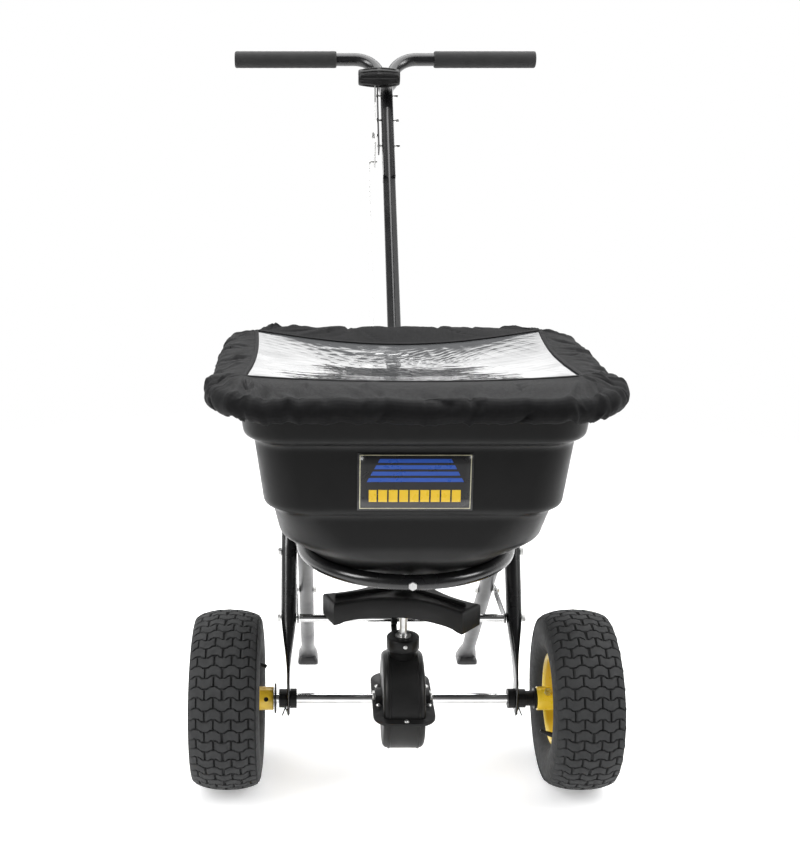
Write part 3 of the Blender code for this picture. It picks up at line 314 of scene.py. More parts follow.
def printed_label(name, ground, band, bar):
    """A dark printed label on its own UV: a pale border, slanted bands over the upper part and a bar below."""
    f = Finish(name, ground, 0.30, coat_weight=0.3, coat_roughness=0.1)
    u, v = f.axis(f.uv(), 0), f.axis(f.uv(), 1)
    centre_u, centre_v = (u - 0.5).absolute(), (v - 0.5).absolute()
    line = (centre_u < 0.482) * (centre_v < 0.470) * (1.0 - (centre_u < 0.474) * (centre_v < 0.456))
    rows = (((v - 0.50) * 9.0).fraction() < 0.62) * (v > 0.46) * (v < 0.90)
    inside = (centre_u + (v - 0.46) * 0.28) < 0.43
    stripe = rows * inside
    lower = (v > 0.15) * (v < 0.36) * (centre_u < 0.40)
    cuts = (u * 11.0).fraction() < 0.84
    colour = f.blend(stripe, ground, band)
    colour = f.blend(lower * cuts, colour, bar)
    colour = f.blend(line, colour, (0.55, 0.52, 0.36))
    f.set("Base Color", colour)
    f.set("Roughness", f.range(f.noise(60.0), 0.3, 0.7, 0.24, 0.40))
    return f.bump(f.noise(300.0), 0.00004, 0.4)


def make_finishes(colours):
    """Makes every material from the panel's colours."""
    FINISHES.update({
        "gloss_black": painted_steel("gloss_black_coat", colours.frame, 0.24, 0.03),
        "satin_grey": painted_steel("satin_grey_coat", colours.leg, 0.42, 0.08),
        "zinc": plated_steel("zinc_plate", colours.zinc, 0.30),
        "steel": drawn_bar("bright_bar", colours.bar, 0.10),
        "yellow_paint": wheel_enamel("yellow_enamel", colours.rim),
        "rubber": tyre_rubber("tyre_rubber", colours.rubber),
        "black_plastic": moulded_plastic("black_nylon", colours.plastic, 0.42, 700.0, 0.00010),
        "case_plastic": moulded_plastic("case_casting", colours.case, 0.44, 420.0, 0.00016),
        "hopper_plastic": moulded_plastic("hopper_polyethylene", colours.hopper, 0.40, 900.0, 0.00010),
        "foam": foam_rubber("grip_foam", colours.foam),
        "cover_cloth": woven_nylon("cover_nylon", colours.cloth),
        "vinyl": clear_vinyl("clear_vinyl", (0.085, 0.087, 0.090)),
        "label": printed_label("printed_label", (0.010, 0.010, 0.011), (0.020, 0.085, 0.42), (0.80, 0.52, 0.02)),
    })


# ---------------------------------------------------------------- surfaces
def grid_quads(rows, columns, wrap_rows, wrap_columns):
    """Corner numbers of the quads of a grid of points, as one array."""
    i = np.arange(rows if wrap_rows else rows - 1)[:, None]
    j = np.arange(columns if wrap_columns else columns - 1)[None, :]
    up, right = (i + 1) % rows, (j + 1) % columns
    quads = np.stack([i * columns + j, i * columns + right, up * columns + right, up * columns + j], axis=-1)
    return quads.reshape(-1, 4)


def mesh_from(name, points, quads, uv=None):
    """A mesh from points, quads as corner numbers and, for each point, its place on the UV map."""
    mesh = bpy.data.meshes.new(name)
    mesh.vertices.add(len(points))
    mesh.vertices.foreach_set("co", np.ascontiguousarray(points, np.float32).ravel())
    mesh.loops.add(quads.size)
    mesh.loops.foreach_set("vertex_index", np.ascontiguousarray(quads, np.int32).ravel())
    mesh.polygons.add(len(quads))
    mesh.polygons.foreach_set("loop_start", np.arange(0, quads.size, 4, dtype=np.int32))
    if uv is not None:
        layer = mesh.uv_layers.new(name="UVMap")
        layer.data.foreach_set("uv", np.ascontiguousarray(uv.reshape(-1, 2)[quads.ravel()], np.float32).ravel())
    mesh.update()
    mesh.validate()
    return mesh


def weld(mesh, distance=1e-6, outward=True):
    """Merges doubled points, which closes seams and poles, and turns the faces outwards."""
    work = bmesh.new()
    work.from_mesh(mesh)
    bmesh.ops.remove_doubles(work, verts=work.verts, dist=distance)
    bmesh.ops.dissolve_degenerate(work, dist=1e-7, edges=work.edges)
    if outward:
        bmesh.ops.recalc_face_normals(work, faces=work.faces)
    work.to_mesh(mesh)
    work.free()


def piece(name, surfaces, finish, body, nodes=(), sharp=40.0, uv=None, outward=True):
    """Makes one object from grids of points, each (points, wrap_rows, wrap_columns), and rides it on a body."""
    points, quads, count = [], [], 0
    for grid, wrap_rows, wrap_columns in surfaces:
        rows, columns = grid.shape[:2]
        quads.append(grid_quads(rows, columns, wrap_rows, wrap_columns) + count)
        points.append(grid.reshape(-1, 3))
        count += rows * columns
    mesh = mesh_from(name, np.concatenate(points), np.concatenate(quads), uv)
    weld(mesh, outward=outward)
    mesh.shade_smooth()
    mesh.set_sharp_from_angle(angle=math.radians(sharp))
    mesh.materials.append(FINISHES[finish].material)
    obj = bpy.data.objects.new(name, mesh)
    bpy.context.scene.collection.objects.link(obj)
    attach(obj, body)
    if nodes:
        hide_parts(*nodes)
    return obj


def unit(v):
    """Vectors at length one."""
    return v / np.linalg.norm(v, axis=-1, keepdims=True)


def arc_path(corners, radius, steps=12):
    """A polyline with each inner corner turned into an arc: centre + slerp of the two tangent points."""
    corners = [np.asarray(c, float) for c in corners]
    points = [corners[0]]
    for before, corner, after in zip(corners, corners[1:], corners[2:]):
        back, ahead = unit(before - corner), unit(after - corner)
        half = math.acos(float(np.clip(back @ ahead, -1, 1))) / 2
        centre = corner + unit(back + ahead) * radius / math.sin(half)
        start = corner + back * radius / math.tan(half) - centre
        end = corner + ahead * radius / math.tan(half) - centre
        swing = math.pi - 2 * half
        t = np.linspace(0, 1, steps + 1)[:, None]
        arc = (np.sin((1 - t) * swing) * start + np.sin(t * swing) * end) / math.sin(swing)
        points.extend(centre + arc)
    points.append(corners[-1])
    return np.array(points)


def frames_along(path, side):
    """Side and normal vectors carried along a path without twist."""
    ahead = unit(np.gradient(path, axis=0))
    sides = np.empty_like(path)
    side = np.asarray(side, float)
    for i, tangent in enumerate(ahead):
        side = unit(side - tangent * (side @ tangent))
        sides[i] = side
    return sides, np.cross(ahead, sides)


def swept(path, half_side, half_normal=None, sides=28, side=SIDE, squareness=1.0):
    """A closed bar: the ring c + a cos(t) side + b sin(t) normal at each point of the path, shrunk to a point at
    both ends; squareness below 1 raises cos and sin to that power."""
    path = np.asarray(path, float)
    n = len(path)
    a = np.broadcast_to(half_side, (n,)).astype(float)
    b = a if half_normal is None else np.broadcast_to(half_normal, (n,)).astype(float)
    power = np.broadcast_to(squareness, (n,)).astype(float)[:, None]
    across, up = frames_along(path, side)
    t = np.linspace(0, 2 * math.pi, sides, endpoint=False)[None, :]
    c = np.sign(np.cos(t)) * np.abs(np.cos(t)) ** power
    s = np.sign(np.sin(t)) * np.abs(np.sin(t)) ** power
    rings = path[:, None] + across[:, None] * (a[:, None] * c)[..., None] + up[:, None] * (b[:, None] * s)[..., None]
    tips = [np.repeat(path[k][None], sides, axis=0)[None] for k in (0, -1)]
    return np.concatenate([tips[0], rings, tips[1]]), False, True


def revolved(profile, centre, steps=72, closed=True):
    """The profile of (along, radius) turned about X: centre + (along, radius cos t, radius sin t)."""
    profile = np.asarray(profile, float)
    t = np.linspace(0, 2 * math.pi, steps, endpoint=False)[None, :]
    along = np.repeat(profile[:, :1], steps, axis=1)
    first, second = profile[:, 1:] * np.cos(t), profile[:, 1:] * np.sin(t)
    return np.asarray(centre) + np.stack([along, first, second], axis=-1), closed, True


def softened(profile, radius=0.0012, steps=3):
    """A closed profile with each corner cut back by a radius and rounded with a quadratic curve."""
    p = np.asarray(profile, float)
    before, after = np.roll(p, 1, axis=0), np.roll(p, -1, axis=0)
    short = np.minimum(np.linalg.norm(before - p, axis=1), np.linalg.norm(after - p, axis=1)) * 0.45
    reach = np.minimum(radius, short)[:, None]
    start, end = p + unit(before - p) * reach, p + unit(after - p) * reach
    t = np.linspace(0, 1, steps + 1)[None, :, None]
    curve = start[:, None] * (1 - t) ** 2 + p[:, None] * 2 * t * (1 - t) + end[:, None] * t ** 2
    return curve.reshape(-1, p.shape[1])


def rounded_outline(half_width, front, back, corner, per_corner=12, per_side=10):
    """Points round a rounded rectangle, anticlockwise: quarter circles joined by straight sides."""
    corners = ((half_width - corner, back - corner, 0.0), (-half_width + corner, back - corner, 0.5),
               (-half_width + corner, front + corner, 1.0), (half_width - corner, front + corner, 1.5))
    angle = np.linspace(0, math.pi / 2, per_corner)
    arcs = [np.stack([x + corner * np.cos(angle + q * math.pi), y + corner * np.sin(angle + q * math.pi)], axis=-1)
            for x, y, q in corners]
    points = []
    for this, following in zip(arcs, arcs[1:] + arcs[:1]):
        t = np.linspace(0, 1, per_side + 1)[1:-1, None]
        points += [this, this[-1] * (1 - t) + following[0] * t]
    return np.concatenate(points)


def resampled(line, count):
    """A polyline at equal steps of its length."""
    line = np.asarray(line, float)
    length = np.concatenate([[0], np.cumsum(np.linalg.norm(np.diff(line[:, :2], axis=0), axis=1))])
    at = np.linspace(0, length[-1], count)
    return np.stack([np.interp(at, length, line[:, k]) for k in range(line.shape[1])], axis=-1)


def blurred(line, width):
    """A line of values smoothed with a bell curve of the given width in samples; its ends stay."""
    reach = int(width * 3)
    bell = np.exp(-0.5 * (np.arange(-reach, reach + 1) / width) ** 2)
    bell /= bell.sum()
    padded = np.concatenate([line[:1].repeat(reach, 0), line, line[-1:].repeat(reach, 0)])
    smooth = np.stack([np.convolve(padded[:, k], bell, "valid") for k in range(line.shape[1])], axis=-1)
    smooth[0], smooth[-1] = line[0], line[-1]
    return smooth


def step(x, low, high):
    """0 below low, 1 above high, smooth between."""
    t = np.clip((x - low) / (high - low), 0, 1)
    return t * t * (3 - 2 * t)


# ---------------------------------------------------------------- settings
class SpreaderColours(bpy.types.PropertyGroup):
    """Base colour of each finish"""
    frame: FloatVectorProperty(name="Frame", description="Powder coat of the frame", subtype="COLOR",
                               default=(0.004, 0.004, 0.0045), min=0, max=1)
    leg: FloatVectorProperty(name="Legs", description="Powder coat of the rear legs", subtype="COLOR",
                             default=(0.018, 0.018, 0.019), min=0, max=1)
    zinc: FloatVectorProperty(name="Zinc", description="Plated hardware", subtype="COLOR",
                              default=(0.70, 0.70, 0.69), min=0, max=1)
    bar: FloatVectorProperty(name="Bar", description="Bright axle and tie", subtype="COLOR",
                             default=(0.72, 0.72, 0.72), min=0, max=1)
    rim: FloatVectorProperty(name="Rims", description="Wheel enamel", subtype="COLOR",
                             default=(0.84, 0.60, 0.035), min=0, max=1)
    rubber: FloatVectorProperty(name="Tyres", description="Tyre rubber", subtype="COLOR",
                                default=(0.023, 0.0235, 0.024), min=0, max=1)
    plastic: FloatVectorProperty(name="Small parts", description="Moulded nylon", subtype="COLOR",
                                 default=(0.005, 0.005, 0.005), min=0, max=1)
    case: FloatVectorProperty(name="Gear case", description="Gear case halves", subtype="COLOR",
                              default=(0.0085, 0.0085, 0.008), min=0, max=1)
    hopper: FloatVectorProperty(name="Hopper", description="Hopper plastic", subtype="COLOR",
                                default=(0.0024, 0.0024, 0.0024), min=0, max=1)
    foam: FloatVectorProperty(name="Grips", description="Grip foam", subtype="COLOR",
                              default=(0.010, 0.010, 0.010), min=0, max=1)
    cloth: FloatVectorProperty(name="Cover", description="Cover nylon", subtype="COLOR",
                               default=(0.0030, 0.0030, 0.0033), min=0, max=1)


class SpreaderSizes(bpy.types.PropertyGroup):
    """Sizes that change how the visible pieces are built"""
    tread_depth: FloatProperty(name="Tread depth", description="Depth of the tyre's grooves", default=0.0038,
                               min=0, max=0.008, unit="LENGTH")
    tread_rows: IntProperty(name="Tread rows", description="Rows of blocks round a tyre", default=54, min=20, max=90)
    cover_sag: FloatProperty(name="Cover sag", description="How far the cover's middle hangs below its edge",
                             default=0.030, min=0, max=0.08, unit="LENGTH")
    gather: FloatProperty(name="Gather", description="Height of the folds at the cover's elastic hem",
                          default=0.0055, min=0, max=0.02, unit="LENGTH")


def sizes():
    """The scene's size settings."""
    return bpy.context.scene.spreader_sizes


# ---------------------------------------------------------------- wheels
TYRE_SIDE = ((0.0355, 0.0642), (0.0362, 0.0700), (0.0400, 0.0745), (0.0470, 0.0800), (0.0515, 0.0890),
             (0.0535, 0.1000), (0.0535, 0.1110), (0.0520, 0.1200), (0.0500, 0.1262), (0.0492, 0.1288),
             (0.0470, 0.1308), (0.0400, 0.1338), (0.0300, 0.1367), (0.0180, 0.1388), (0.0, 0.1397))
SHOULDER = 0.0505  # tread's half width, measured over the crown
BLOCK_WIDTH = 0.0262
TYRE_STEPS = 790  # rings of points round a tyre
MOULD_LINES = ((0.079, 0.0007, 0.0012), (0.0865, 0.0006, 0.0010))  # place over the crown, height, width


def tread_height(across, around, pitch):
    """How far the surface stands above the grooves' floor, 0 to 1, from the distance across the crown and round it.
    Rows of blocks are offset by half a block; the grooves between rows run in a flat-topped wave."""
    phase = across / BLOCK_WIDTH
    ripple = np.clip(np.cos(2 * math.pi * phase) * 1.7, -1, 1) * 0.0019
    row = (around - ripple) / pitch
    within = np.abs(row - np.floor(row) - 0.5) * pitch
    level = step(pitch / 2 - within, 0.0003, 0.0013)
    odd = np.mod(np.floor(row), 2)
    shift = phase + 0.5 * odd
    column = np.abs(shift - np.floor(shift) - 0.5) * BLOCK_WIDTH
    centre_groove = 0.0007 * (np.abs(across) < 0.004)
    upright = step(BLOCK_WIDTH / 2 - column, 0.0006 + centre_groove, 0.0019 + centre_groove)
    return np.minimum(level, upright)


def tyre_grid(centre_x):
    """A tyre's closed profile turned about the axle: radius less tread depth where a groove runs."""
    side = np.array(TYRE_SIDE)
    crown = blurred(resampled(side, 160), 1.2)
    crown[-1] = side[-1]
    profile = np.concatenate([crown * [-1, 1], crown[-2::-1]])
    length = np.concatenate([[0], np.cumsum(np.linalg.norm(np.diff(profile, axis=0), axis=1))])
    crown_at = length[np.argmax(profile[:, 1])]
    tread = np.arange(-SHOULDER - 0.003, SHOULDER + 0.0031, 0.00125)
    sides_low = np.linspace(length[0] - crown_at, tread[0], 16)[:-1]
    sides_high = np.linspace(tread[-1], length[-1] - crown_at, 16)[1:]
    w = np.concatenate([sides_low, tread, sides_high])
    x = np.interp(w + crown_at, length, profile[:, 0])
    r = np.interp(w + crown_at, length, profile[:, 1])
    slope_x, slope_r = np.gradient(x, w), np.gradient(r, w)
    out = unit(np.stack([-slope_r, slope_x], axis=-1))
    rows = sizes().tread_rows
    pitch = 2 * math.pi * WHEEL_RADIUS / rows
    turn = np.linspace(0, 2 * math.pi, TYRE_STEPS, endpoint=False)
    around = turn * WHEEL_RADIUS
    high = tread_height(w[None, :], around[:, None], pitch)
    edge = step(SHOULDER - np.abs(w), -0.0004, 0.0012)[None, :]
    ribs = 0.0007 * step(np.cos(turn * rows / 2), 0.80, 0.95)[:, None] * \
        step(np.abs(w) - SHOULDER, 0.001, 0.003)[None, :] * step(SHOULDER + 0.012 - np.abs(w), 0, 0.003)[None, :]
    drop = sizes().tread_depth * (1 - high * edge) * step(SHOULDER + 0.0012 - np.abs(w), -0.0012, 0.0012)[None, :]
    hoop = sum(height * np.exp(-((np.abs(w) - at) / width) ** 2) for at, height, width in MOULD_LINES)
    lift = hoop[None, :] + ribs - drop
    xs = x[None, :] + out[None, :, 0] * lift * np.sign(x[None, :] * out[None, :, 0] + 1e-9) * np.sign(x[None, :])
    rs = r[None, :] + np.abs(out[None, :, 1]) * lift * np.sign(r[None, :] - 0.100 + 1e-9)
    points = np.stack([centre_x + xs, AXLE[1] + rs * np.cos(turn)[:, None], AXLE[2] + rs * np.sin(turn)[:, None]],
                      axis=-1)
    return points, True, True


def rim_surfaces(side):
    """Pressed rim: a barrel with bead seats and rolled flanges, a dished web, and a tube hub through it."""
    sign = SIGNS[side]
    low, high = box_of(f"rim_{side}")
    face = sign * WHEEL_X
    hub_in = abs(low[0] if sign > 0 else high[0]) - WHEEL_X
    bore = 0.0084
    # Distances are measured outwards from the wheel's middle plane.
    barrel = [(-0.0405, 0.0668), (-0.0400, 0.0712), (-0.0380, 0.0715), (-0.0362, 0.0700), (-0.0352, 0.0640),
              (-0.0200, 0.0633), (-0.0150, 0.0600), (0.0150, 0.0600), (0.0200, 0.0633), (0.0352, 0.0640),
              (0.0362, 0.0700), (0.0380, 0.0715), (0.0400, 0.0712), (0.0405, 0.0668), (0.0370, 0.0632),
              (0.0210, 0.0612), (0.0160, 0.0578), (0.0040, 0.0572), (0.0026, 0.0540), (0.0040, 0.0470),
              (0.0048, 0.0330), (0.0020, 0.0240), (0.0020, 0.0185), (0.0380, 0.0180), (0.0380, bore),
              (hub_in, bore), (hub_in, 0.0184), (-0.0020, 0.0185), (-0.0022, 0.0240), (0.0008, 0.0330),
              (0.0000, 0.0470), (-0.0016, 0.0540), (-0.0040, 0.0572), (-0.0160, 0.0578), (-0.0210, 0.0612),
              (-0.0370, 0.0632)]
    profile = softened([(face + sign * a, r) for a, r in barrel], 0.0016, 4)
    return [revolved(profile, (0.0, AXLE[1], AXLE[2]), steps=96)]


def turned(centre, direction, profile, sides=28):
    """A turned shape along any direction: the profile of (distance, radius) pairs swept round it."""
    direction = unit(np.asarray(direction, float))
    side = unit(np.cross(direction, [0.31, 0.17, 1.0]))
    up = np.cross(direction, side)
    t = np.linspace(0, 2 * math.pi, sides, endpoint=False)
    ring = side * np.cos(t)[:, None] + up * np.sin(t)[:, None]
    return np.array([np.asarray(centre) + direction * h + ring * r for h, r in profile]), False, True


def screw_head(centre, direction, radius=0.0045, height=0.0026):
    """A domed screw head: the radius falls away as a quarter ellipse."""
    q = np.linspace(0, math.pi / 2, 8)
    dome = [(0.0, 0.0), (0.0, radius)] + [(height * math.sin(a), radius * math.cos(a)) for a in q]
    return turned(centre, direction, dome, 20)


class SPREADER_OT_wheels(bpy.types.Operator):
    """Build the treaded tyres and pressed rims"""
    bl_idname = "spreader.wheels"
    bl_label = "Wheels"

    valve = ((-0.004, 0.0), (-0.004, 0.0065), (0.002, 0.0058), (0.006, 0.0040), (0.020, 0.0036), (0.021, 0.0030),
             (0.030, 0.0030), (0.031, 0.0022), (0.031, 0.0))  # distance along its stem, radius
    valve_turn = {"left": 140, "right": -38}  # degrees from straight down
    valve_radius = 0.0610

    def execute(self, context):
        for side in SIDES:
            sign = SIGNS[side]
            body = "left_wheel" if side == "left" else "axle_set"
            piece(f"{side}_tyre_tread", [tyre_grid(sign * WHEEL_X)], "rubber", body, [f"tyre_{side}"], sharp=28)
            piece(f"{side}_rim_pressing", rim_surfaces(side), "yellow_paint", body, [f"rim_{side}"], sharp=50)
            angle = math.radians(self.valve_turn[side])
            out = np.array([0.0, math.sin(angle), -math.cos(angle)])
            foot = np.array([sign * (WHEEL_X - 0.030), AXLE[1], AXLE[2]]) + out * self.valve_radius
            aim = unit(-out * 0.35 + np.array([-sign, 0.0, 0.0]))
            piece(f"{side}_valve", [turned(foot, aim, self.valve, 16)], "black_plastic", body)
        return {"FINISHED"}


# ---------------------------------------------------------------- frame
UPRIGHT_FOOT = -0.0200  # lower end, above the axle
UPRIGHT_BENDS = ((0.0, 0.0283), (0.022, 0.0683), (0.092, 0.2223), (0.160, 0.3243))  # behind the axle, above it
FLAT_FROM, FLAT_LENGTH, FLAT_HALF = 0.270, 0.100, 0.0025  # height, run and half thickness of the pressed ends


def upright_surface():
    """The inverted U: a round tube pressed flat towards the axle at constant girth."""
    frame_x = float(middle_of("axle_bearing_right")[0]) - 0.001
    left = [place(-frame_x, y, AXLE[2] + z) for y, z in UPRIGHT_BENDS]
    right = [p * [-1, 1, 1] for p in left[::-1]]
    path = arc_path(left + right, 0.045, 14)
    foot = place(-frame_x, 0.0, AXLE[2] + UPRIGHT_FOOT)
    lower = np.linspace(foot, path[0], 12)[:-1]
    path = np.concatenate([lower, path, lower[::-1] * [-1, 1, 1]])
    dense = [path[0]]
    for a, b in zip(path, path[1:]):
        count = max(1, int(np.linalg.norm(b - a) / 0.008))
        dense.extend(a + (b - a) * k / count for k in range(1, count + 1))
    path = np.array(dense)
    flat = step(-path[:, 2], -FLAT_FROM, FLAT_LENGTH - FLAT_FROM)
    half_thick = TUBE + (FLAT_HALF - TUBE) * flat
    half_wide = TUBE + (math.pi / 2 * TUBE - FLAT_HALF - TUBE) * flat
    return swept(path, half_thick, half_wide, sides=36, squareness=1 - 0.45 * flat)


class SPREADER_OT_frame(bpy.types.Operator):
    """Build the bent tubes of the frame, the legs, ring, tie and axle"""
    bl_idname = "spreader.frame"
    bl_label = "Frame"

    leg_top, leg_foot = (0.067, 0.375), (0.4300, 0.0120)  # behind the axle, and height
    pad = (0.0193, 0.0215, 0.0050)  # half width, half length and corner radius of a foot

    def execute(self, context):
        piece("upright_tube", [upright_surface()], "gloss_black", "chassis", ["main_frame"], sharp=50)
        ring = box_of("support_ring")
        tube = (ring[1][2] - ring[0][2]) / 2
        radius = ring[1][0] - tube
        centre_y, height = ring[0][1] + tube + radius, (ring[0][2] + ring[1][2]) / 2
        t = np.linspace(math.pi, 2 * math.pi, 72)
        arc = np.stack([radius * np.cos(t), centre_y + radius * np.sin(t), np.full_like(t, height)], axis=-1)
        back = ring[1][1]
        path = np.concatenate([[[-radius, back, height]], [[-radius, (back + centre_y) / 2, height]], arc,
                               [[radius, (back + centre_y) / 2, height]], [[radius, back, height]]])
        piece("hopper_ring", [swept(path, tube)], "gloss_black", "chassis", ["support_ring"], sharp=50)
        for side in SIDES:
            self.leg(side)
        for name, node, body in (("tie_bar", "cross_tie", "chassis"), ("axle_bar", "axle", "axle_set")):
            low, high = box_of(node)
            middle, r = (low + high) / 2, (high[2] - low[2]) / 2
            ends = [np.array([low[0], middle[1], middle[2]]), np.array([high[0], middle[1], middle[2]])]
            bar = swept(np.linspace(*ends, 9), r, side=(0, 1, 0))
            piece(name, [bar], "steel", body, [node], sharp=50)
        return {"FINISHED"}

    def leg(self, side):
        """A straight tube whose foot is pressed out into a flared pad."""
        low, high = box_of(f"rear_leg_{side}")
        x = (low[0] + high[0]) / 2
        s = np.linspace(0, 1, 40)
        top, foot = place(x, *self.leg_top), place(x, *self.leg_foot)
        path = top + (foot - top) * s[:, None]
        flare = step(s, 0.90, 1.0)
        tube = swept(path, TUBE + 0.0060 * flare, TUBE * (1 - 0.1 * flare), sides=32, squareness=1 - 0.45 * flare)
        half_width, half_length, corner = self.pad
        outline = rounded_outline(half_width, -half_length, half_length, corner, 6, 4)
        middle = np.array([x, high[1] - half_length])
        stations = ((0.0, 0.0), (0.0, 0.96), (0.0012, 1.0), (0.0060, 1.0), (0.0078, 0.97), (0.0150, 0.78),
                    (0.0190, 0.62), (0.0190, 0.0))
        pad = np.array([np.concatenate([outline * k + middle, np.full((len(outline), 1), z)], axis=1)
                        for z, k in stations])
        piece(f"{side}_leg_tube", [tube, (pad, False, True)], "satin_grey", "chassis", [f"rear_leg_{side}"], sharp=50)


# ---------------------------------------------------------------- handle
def half_diamond(angle, half_diagonal, middle=0.0062):
    """Distance from a half diamond's middle to its outline at each angle; angle 0 points outwards."""
    faces = ((math.pi, middle - 0.0006), (math.pi / 4, (half_diagonal - middle) / math.sqrt(2)),
             (-math.pi / 4, (half_diagonal - middle) / math.sqrt(2)))
    reach = np.full_like(angle, 0.0150)
    for facing, distance in faces:
        toward = np.cos(angle - facing)
        reach = np.where(toward > 0.05, np.minimum(reach, distance / np.maximum(toward, 0.05)), reach)
    return reach


class SPREADER_OT_handle(bpy.types.Operator):
    """Build the handle's post, its two pressed grip tubes and the foam grips"""
    bl_idname = "spreader.handle"
    bl_label = "Handle"

    post_span = (0.022, 0.79)  # distances along the post, here and for the next three
    grip_s, press_s, sleeve_end = 0.927, 0.870, 0.620
    bend, bar_end = 0.050, 0.299  # radius of the bend, and the bar's end from the middle
    clasp = 0.0062  # distance of a pressed half's middle from the post's plane
    post_half, post_corner = 0.0128, 0.0119  # half diagonal of the post's section, and where its corners are cut

    def execute(self, context):
        for side in SIDES:
            self.tube(side)
            self.grip(side)
        s = np.linspace(*self.post_span, 30)
        t = np.linspace(0, 2 * math.pi, 48, endpoint=False)
        diamond = np.minimum(self.post_half / (np.abs(np.cos(t)) + np.abs(np.sin(t))), self.post_corner)
        ring = SIDE * (diamond * np.cos(t))[:, None] + POST_FRONT * (diamond * np.sin(t))[:, None]
        rings = np.array([on_post(0, a) + ring for a in s])
        caps = [np.repeat(on_post(0, a)[None], 48, axis=0)[None] for a in (s[0], s[-1])]
        piece("post_tube", [(np.concatenate([caps[0], rings, caps[1]]), False, True)], "gloss_black", "chassis",
              ["handle_post"], sharp=60)
        return {"FINISHED"}

    def tube(self, side):
        """Round at the grip, then pressed by degrees into half of a diamond that clasps the post."""
        sign = SIGNS[side]
        steps = 16
        quarter = np.linspace(0, math.pi / 2, steps)
        bend_x = TUBE + self.bend - self.bend * np.sin(quarter)
        bend_s = self.grip_s - self.bend + self.bend * np.cos(quarter)
        straight = np.linspace(self.bar_end, TUBE + self.bend, 14)[:-1]
        low_s = np.linspace(self.press_s, self.sleeve_end, 26)
        low_x = TUBE + (self.clasp - TUBE) * step(-low_s, 0.002 - self.press_s, 0.028 - self.press_s)
        x = np.concatenate([straight, bend_x, low_x])
        s = np.concatenate([np.full(len(straight), self.grip_s), bend_s, low_s])
        squeeze = step(-low_s, -self.press_s, 0.030 - self.press_s)
        pressed = np.concatenate([np.zeros(len(straight) + steps), squeeze])
        centres = np.array([on_post(sign * a, b) for a, b in zip(x, s)])
        ahead = unit(np.gradient(centres, axis=0))
        out = np.cross(ahead, POST_FRONT) * sign
        t = np.linspace(0, 2 * math.pi, 40, endpoint=False)
        reach = half_diamond(t, 0.0164)
        radius = TUBE + (reach[None, :] - TUBE) * pressed[:, None]
        rings = centres[:, None] + out[:, None] * (radius * np.cos(t))[..., None] \
            + POST_FRONT * (radius * np.sin(t))[..., None]
        caps = [np.repeat(centres[k][None], 40, axis=0)[None] for k in (0, -1)]
        piece(f"{side}_handle_bar", [(np.concatenate([caps[0], rings, caps[1]]), False, True)], "gloss_black",
              "chassis", [f"handle_tube_{side}"], sharp=45)

    def grip(self, side):
        """A foam sleeve with a rounded, closed end and a soft inner lip."""
        sign = SIGNS[side]
        low, high = box_of(f"grip_{side}")
        inner, outer = (high[0], low[0]) if sign < 0 else (low[0], high[0])
        radius = (high[2] - low[2]) / 2
        middle = (low + high) / 2
        profile = [(inner + sign * 0.004, 0.0125), (inner, 0.0150), (inner + sign * 0.0006, radius - 0.0008),
                   (inner + sign * 0.003, radius)]
        profile += [(x, radius - 0.00015 * (k % 2)) for k, x in enumerate(np.linspace(inner + sign * 0.01,
                                                                                      outer - sign * 0.01, 24))]
        profile += [(outer - sign * 0.0035, radius), (outer - sign * 0.0010, radius - 0.0010),
                    (outer, radius - 0.0035), (outer, 0.004), (outer, 0.0)]
        grid = revolved(profile, (0.0, middle[1], middle[2]), steps=48, closed=False)
        # The inner end closes on the tube's centre line.
        cap = np.repeat(np.array([[inner + sign * 0.004, middle[1], middle[2]]]), 48, axis=0)[None]
        obj = piece(f"{side}_foam_grip", [(np.concatenate([cap, grid[0]]), False, True)], "foam", "chassis",
                    [f"grip_{side}"], sharp=60)


# ---------------------------------------------------------------- small parts
class SPREADER_OT_knob(bpy.types.Operator):
    """Build the fluted barrel on the control lever"""
    bl_idname = "spreader.knob"
    bl_label = "Knob"

    end_radius, belly = 0.0150, 0.0046
    flutes, flute_depth = 12, 0.0018

    def execute(self, context):
        low, high = box_of("lever_knob")
        middle, half = (low + high) / 2, (high[0] - low[0]) / 2
        rim = half - np.array([0.0, 0.0, 0.0008, 0.003])
        x = np.concatenate([-rim, np.linspace(-half + 0.006, half - 0.006, 26), rim[::-1]])
        barrel = self.end_radius + self.belly * np.cos(x / half * math.pi / 2)
        barrel[[0, -1]] = 0.0
        barrel[[1, -2]] -= 0.0022
        barrel[[2, -3]] -= 0.0010
        turn = np.linspace(0, 2 * math.pi, 144, endpoint=False)
        ends = step(half - 0.005 - np.abs(x), 0.0, 0.004)[:, None]
        flute = step(np.cos(turn * self.flutes), -0.35, 0.45)[None, :] * ends
        waist = 1 - np.exp(-(x / 0.0016) ** 2)[:, None]
        radius = barrel[:, None] - self.flute_depth * flute * waist
        grid = np.stack([np.broadcast_to(middle[0] + x[:, None], radius.shape),
                         middle[1] + radius * np.cos(turn), middle[2] + radius * np.sin(turn)], axis=-1)
        piece("lever_barrel", [(grid, False, True)], "black_plastic", "lever", ["lever_knob"], sharp=40)
        return {"FINISHED"}


CASE_RADIUS, CASE_HALF = 0.0770, 0.0325  # drum's radius and half width
NECK_RADIUS, NECK_TOP = 0.0258, 0.2470  # collar's radius and the height of its top


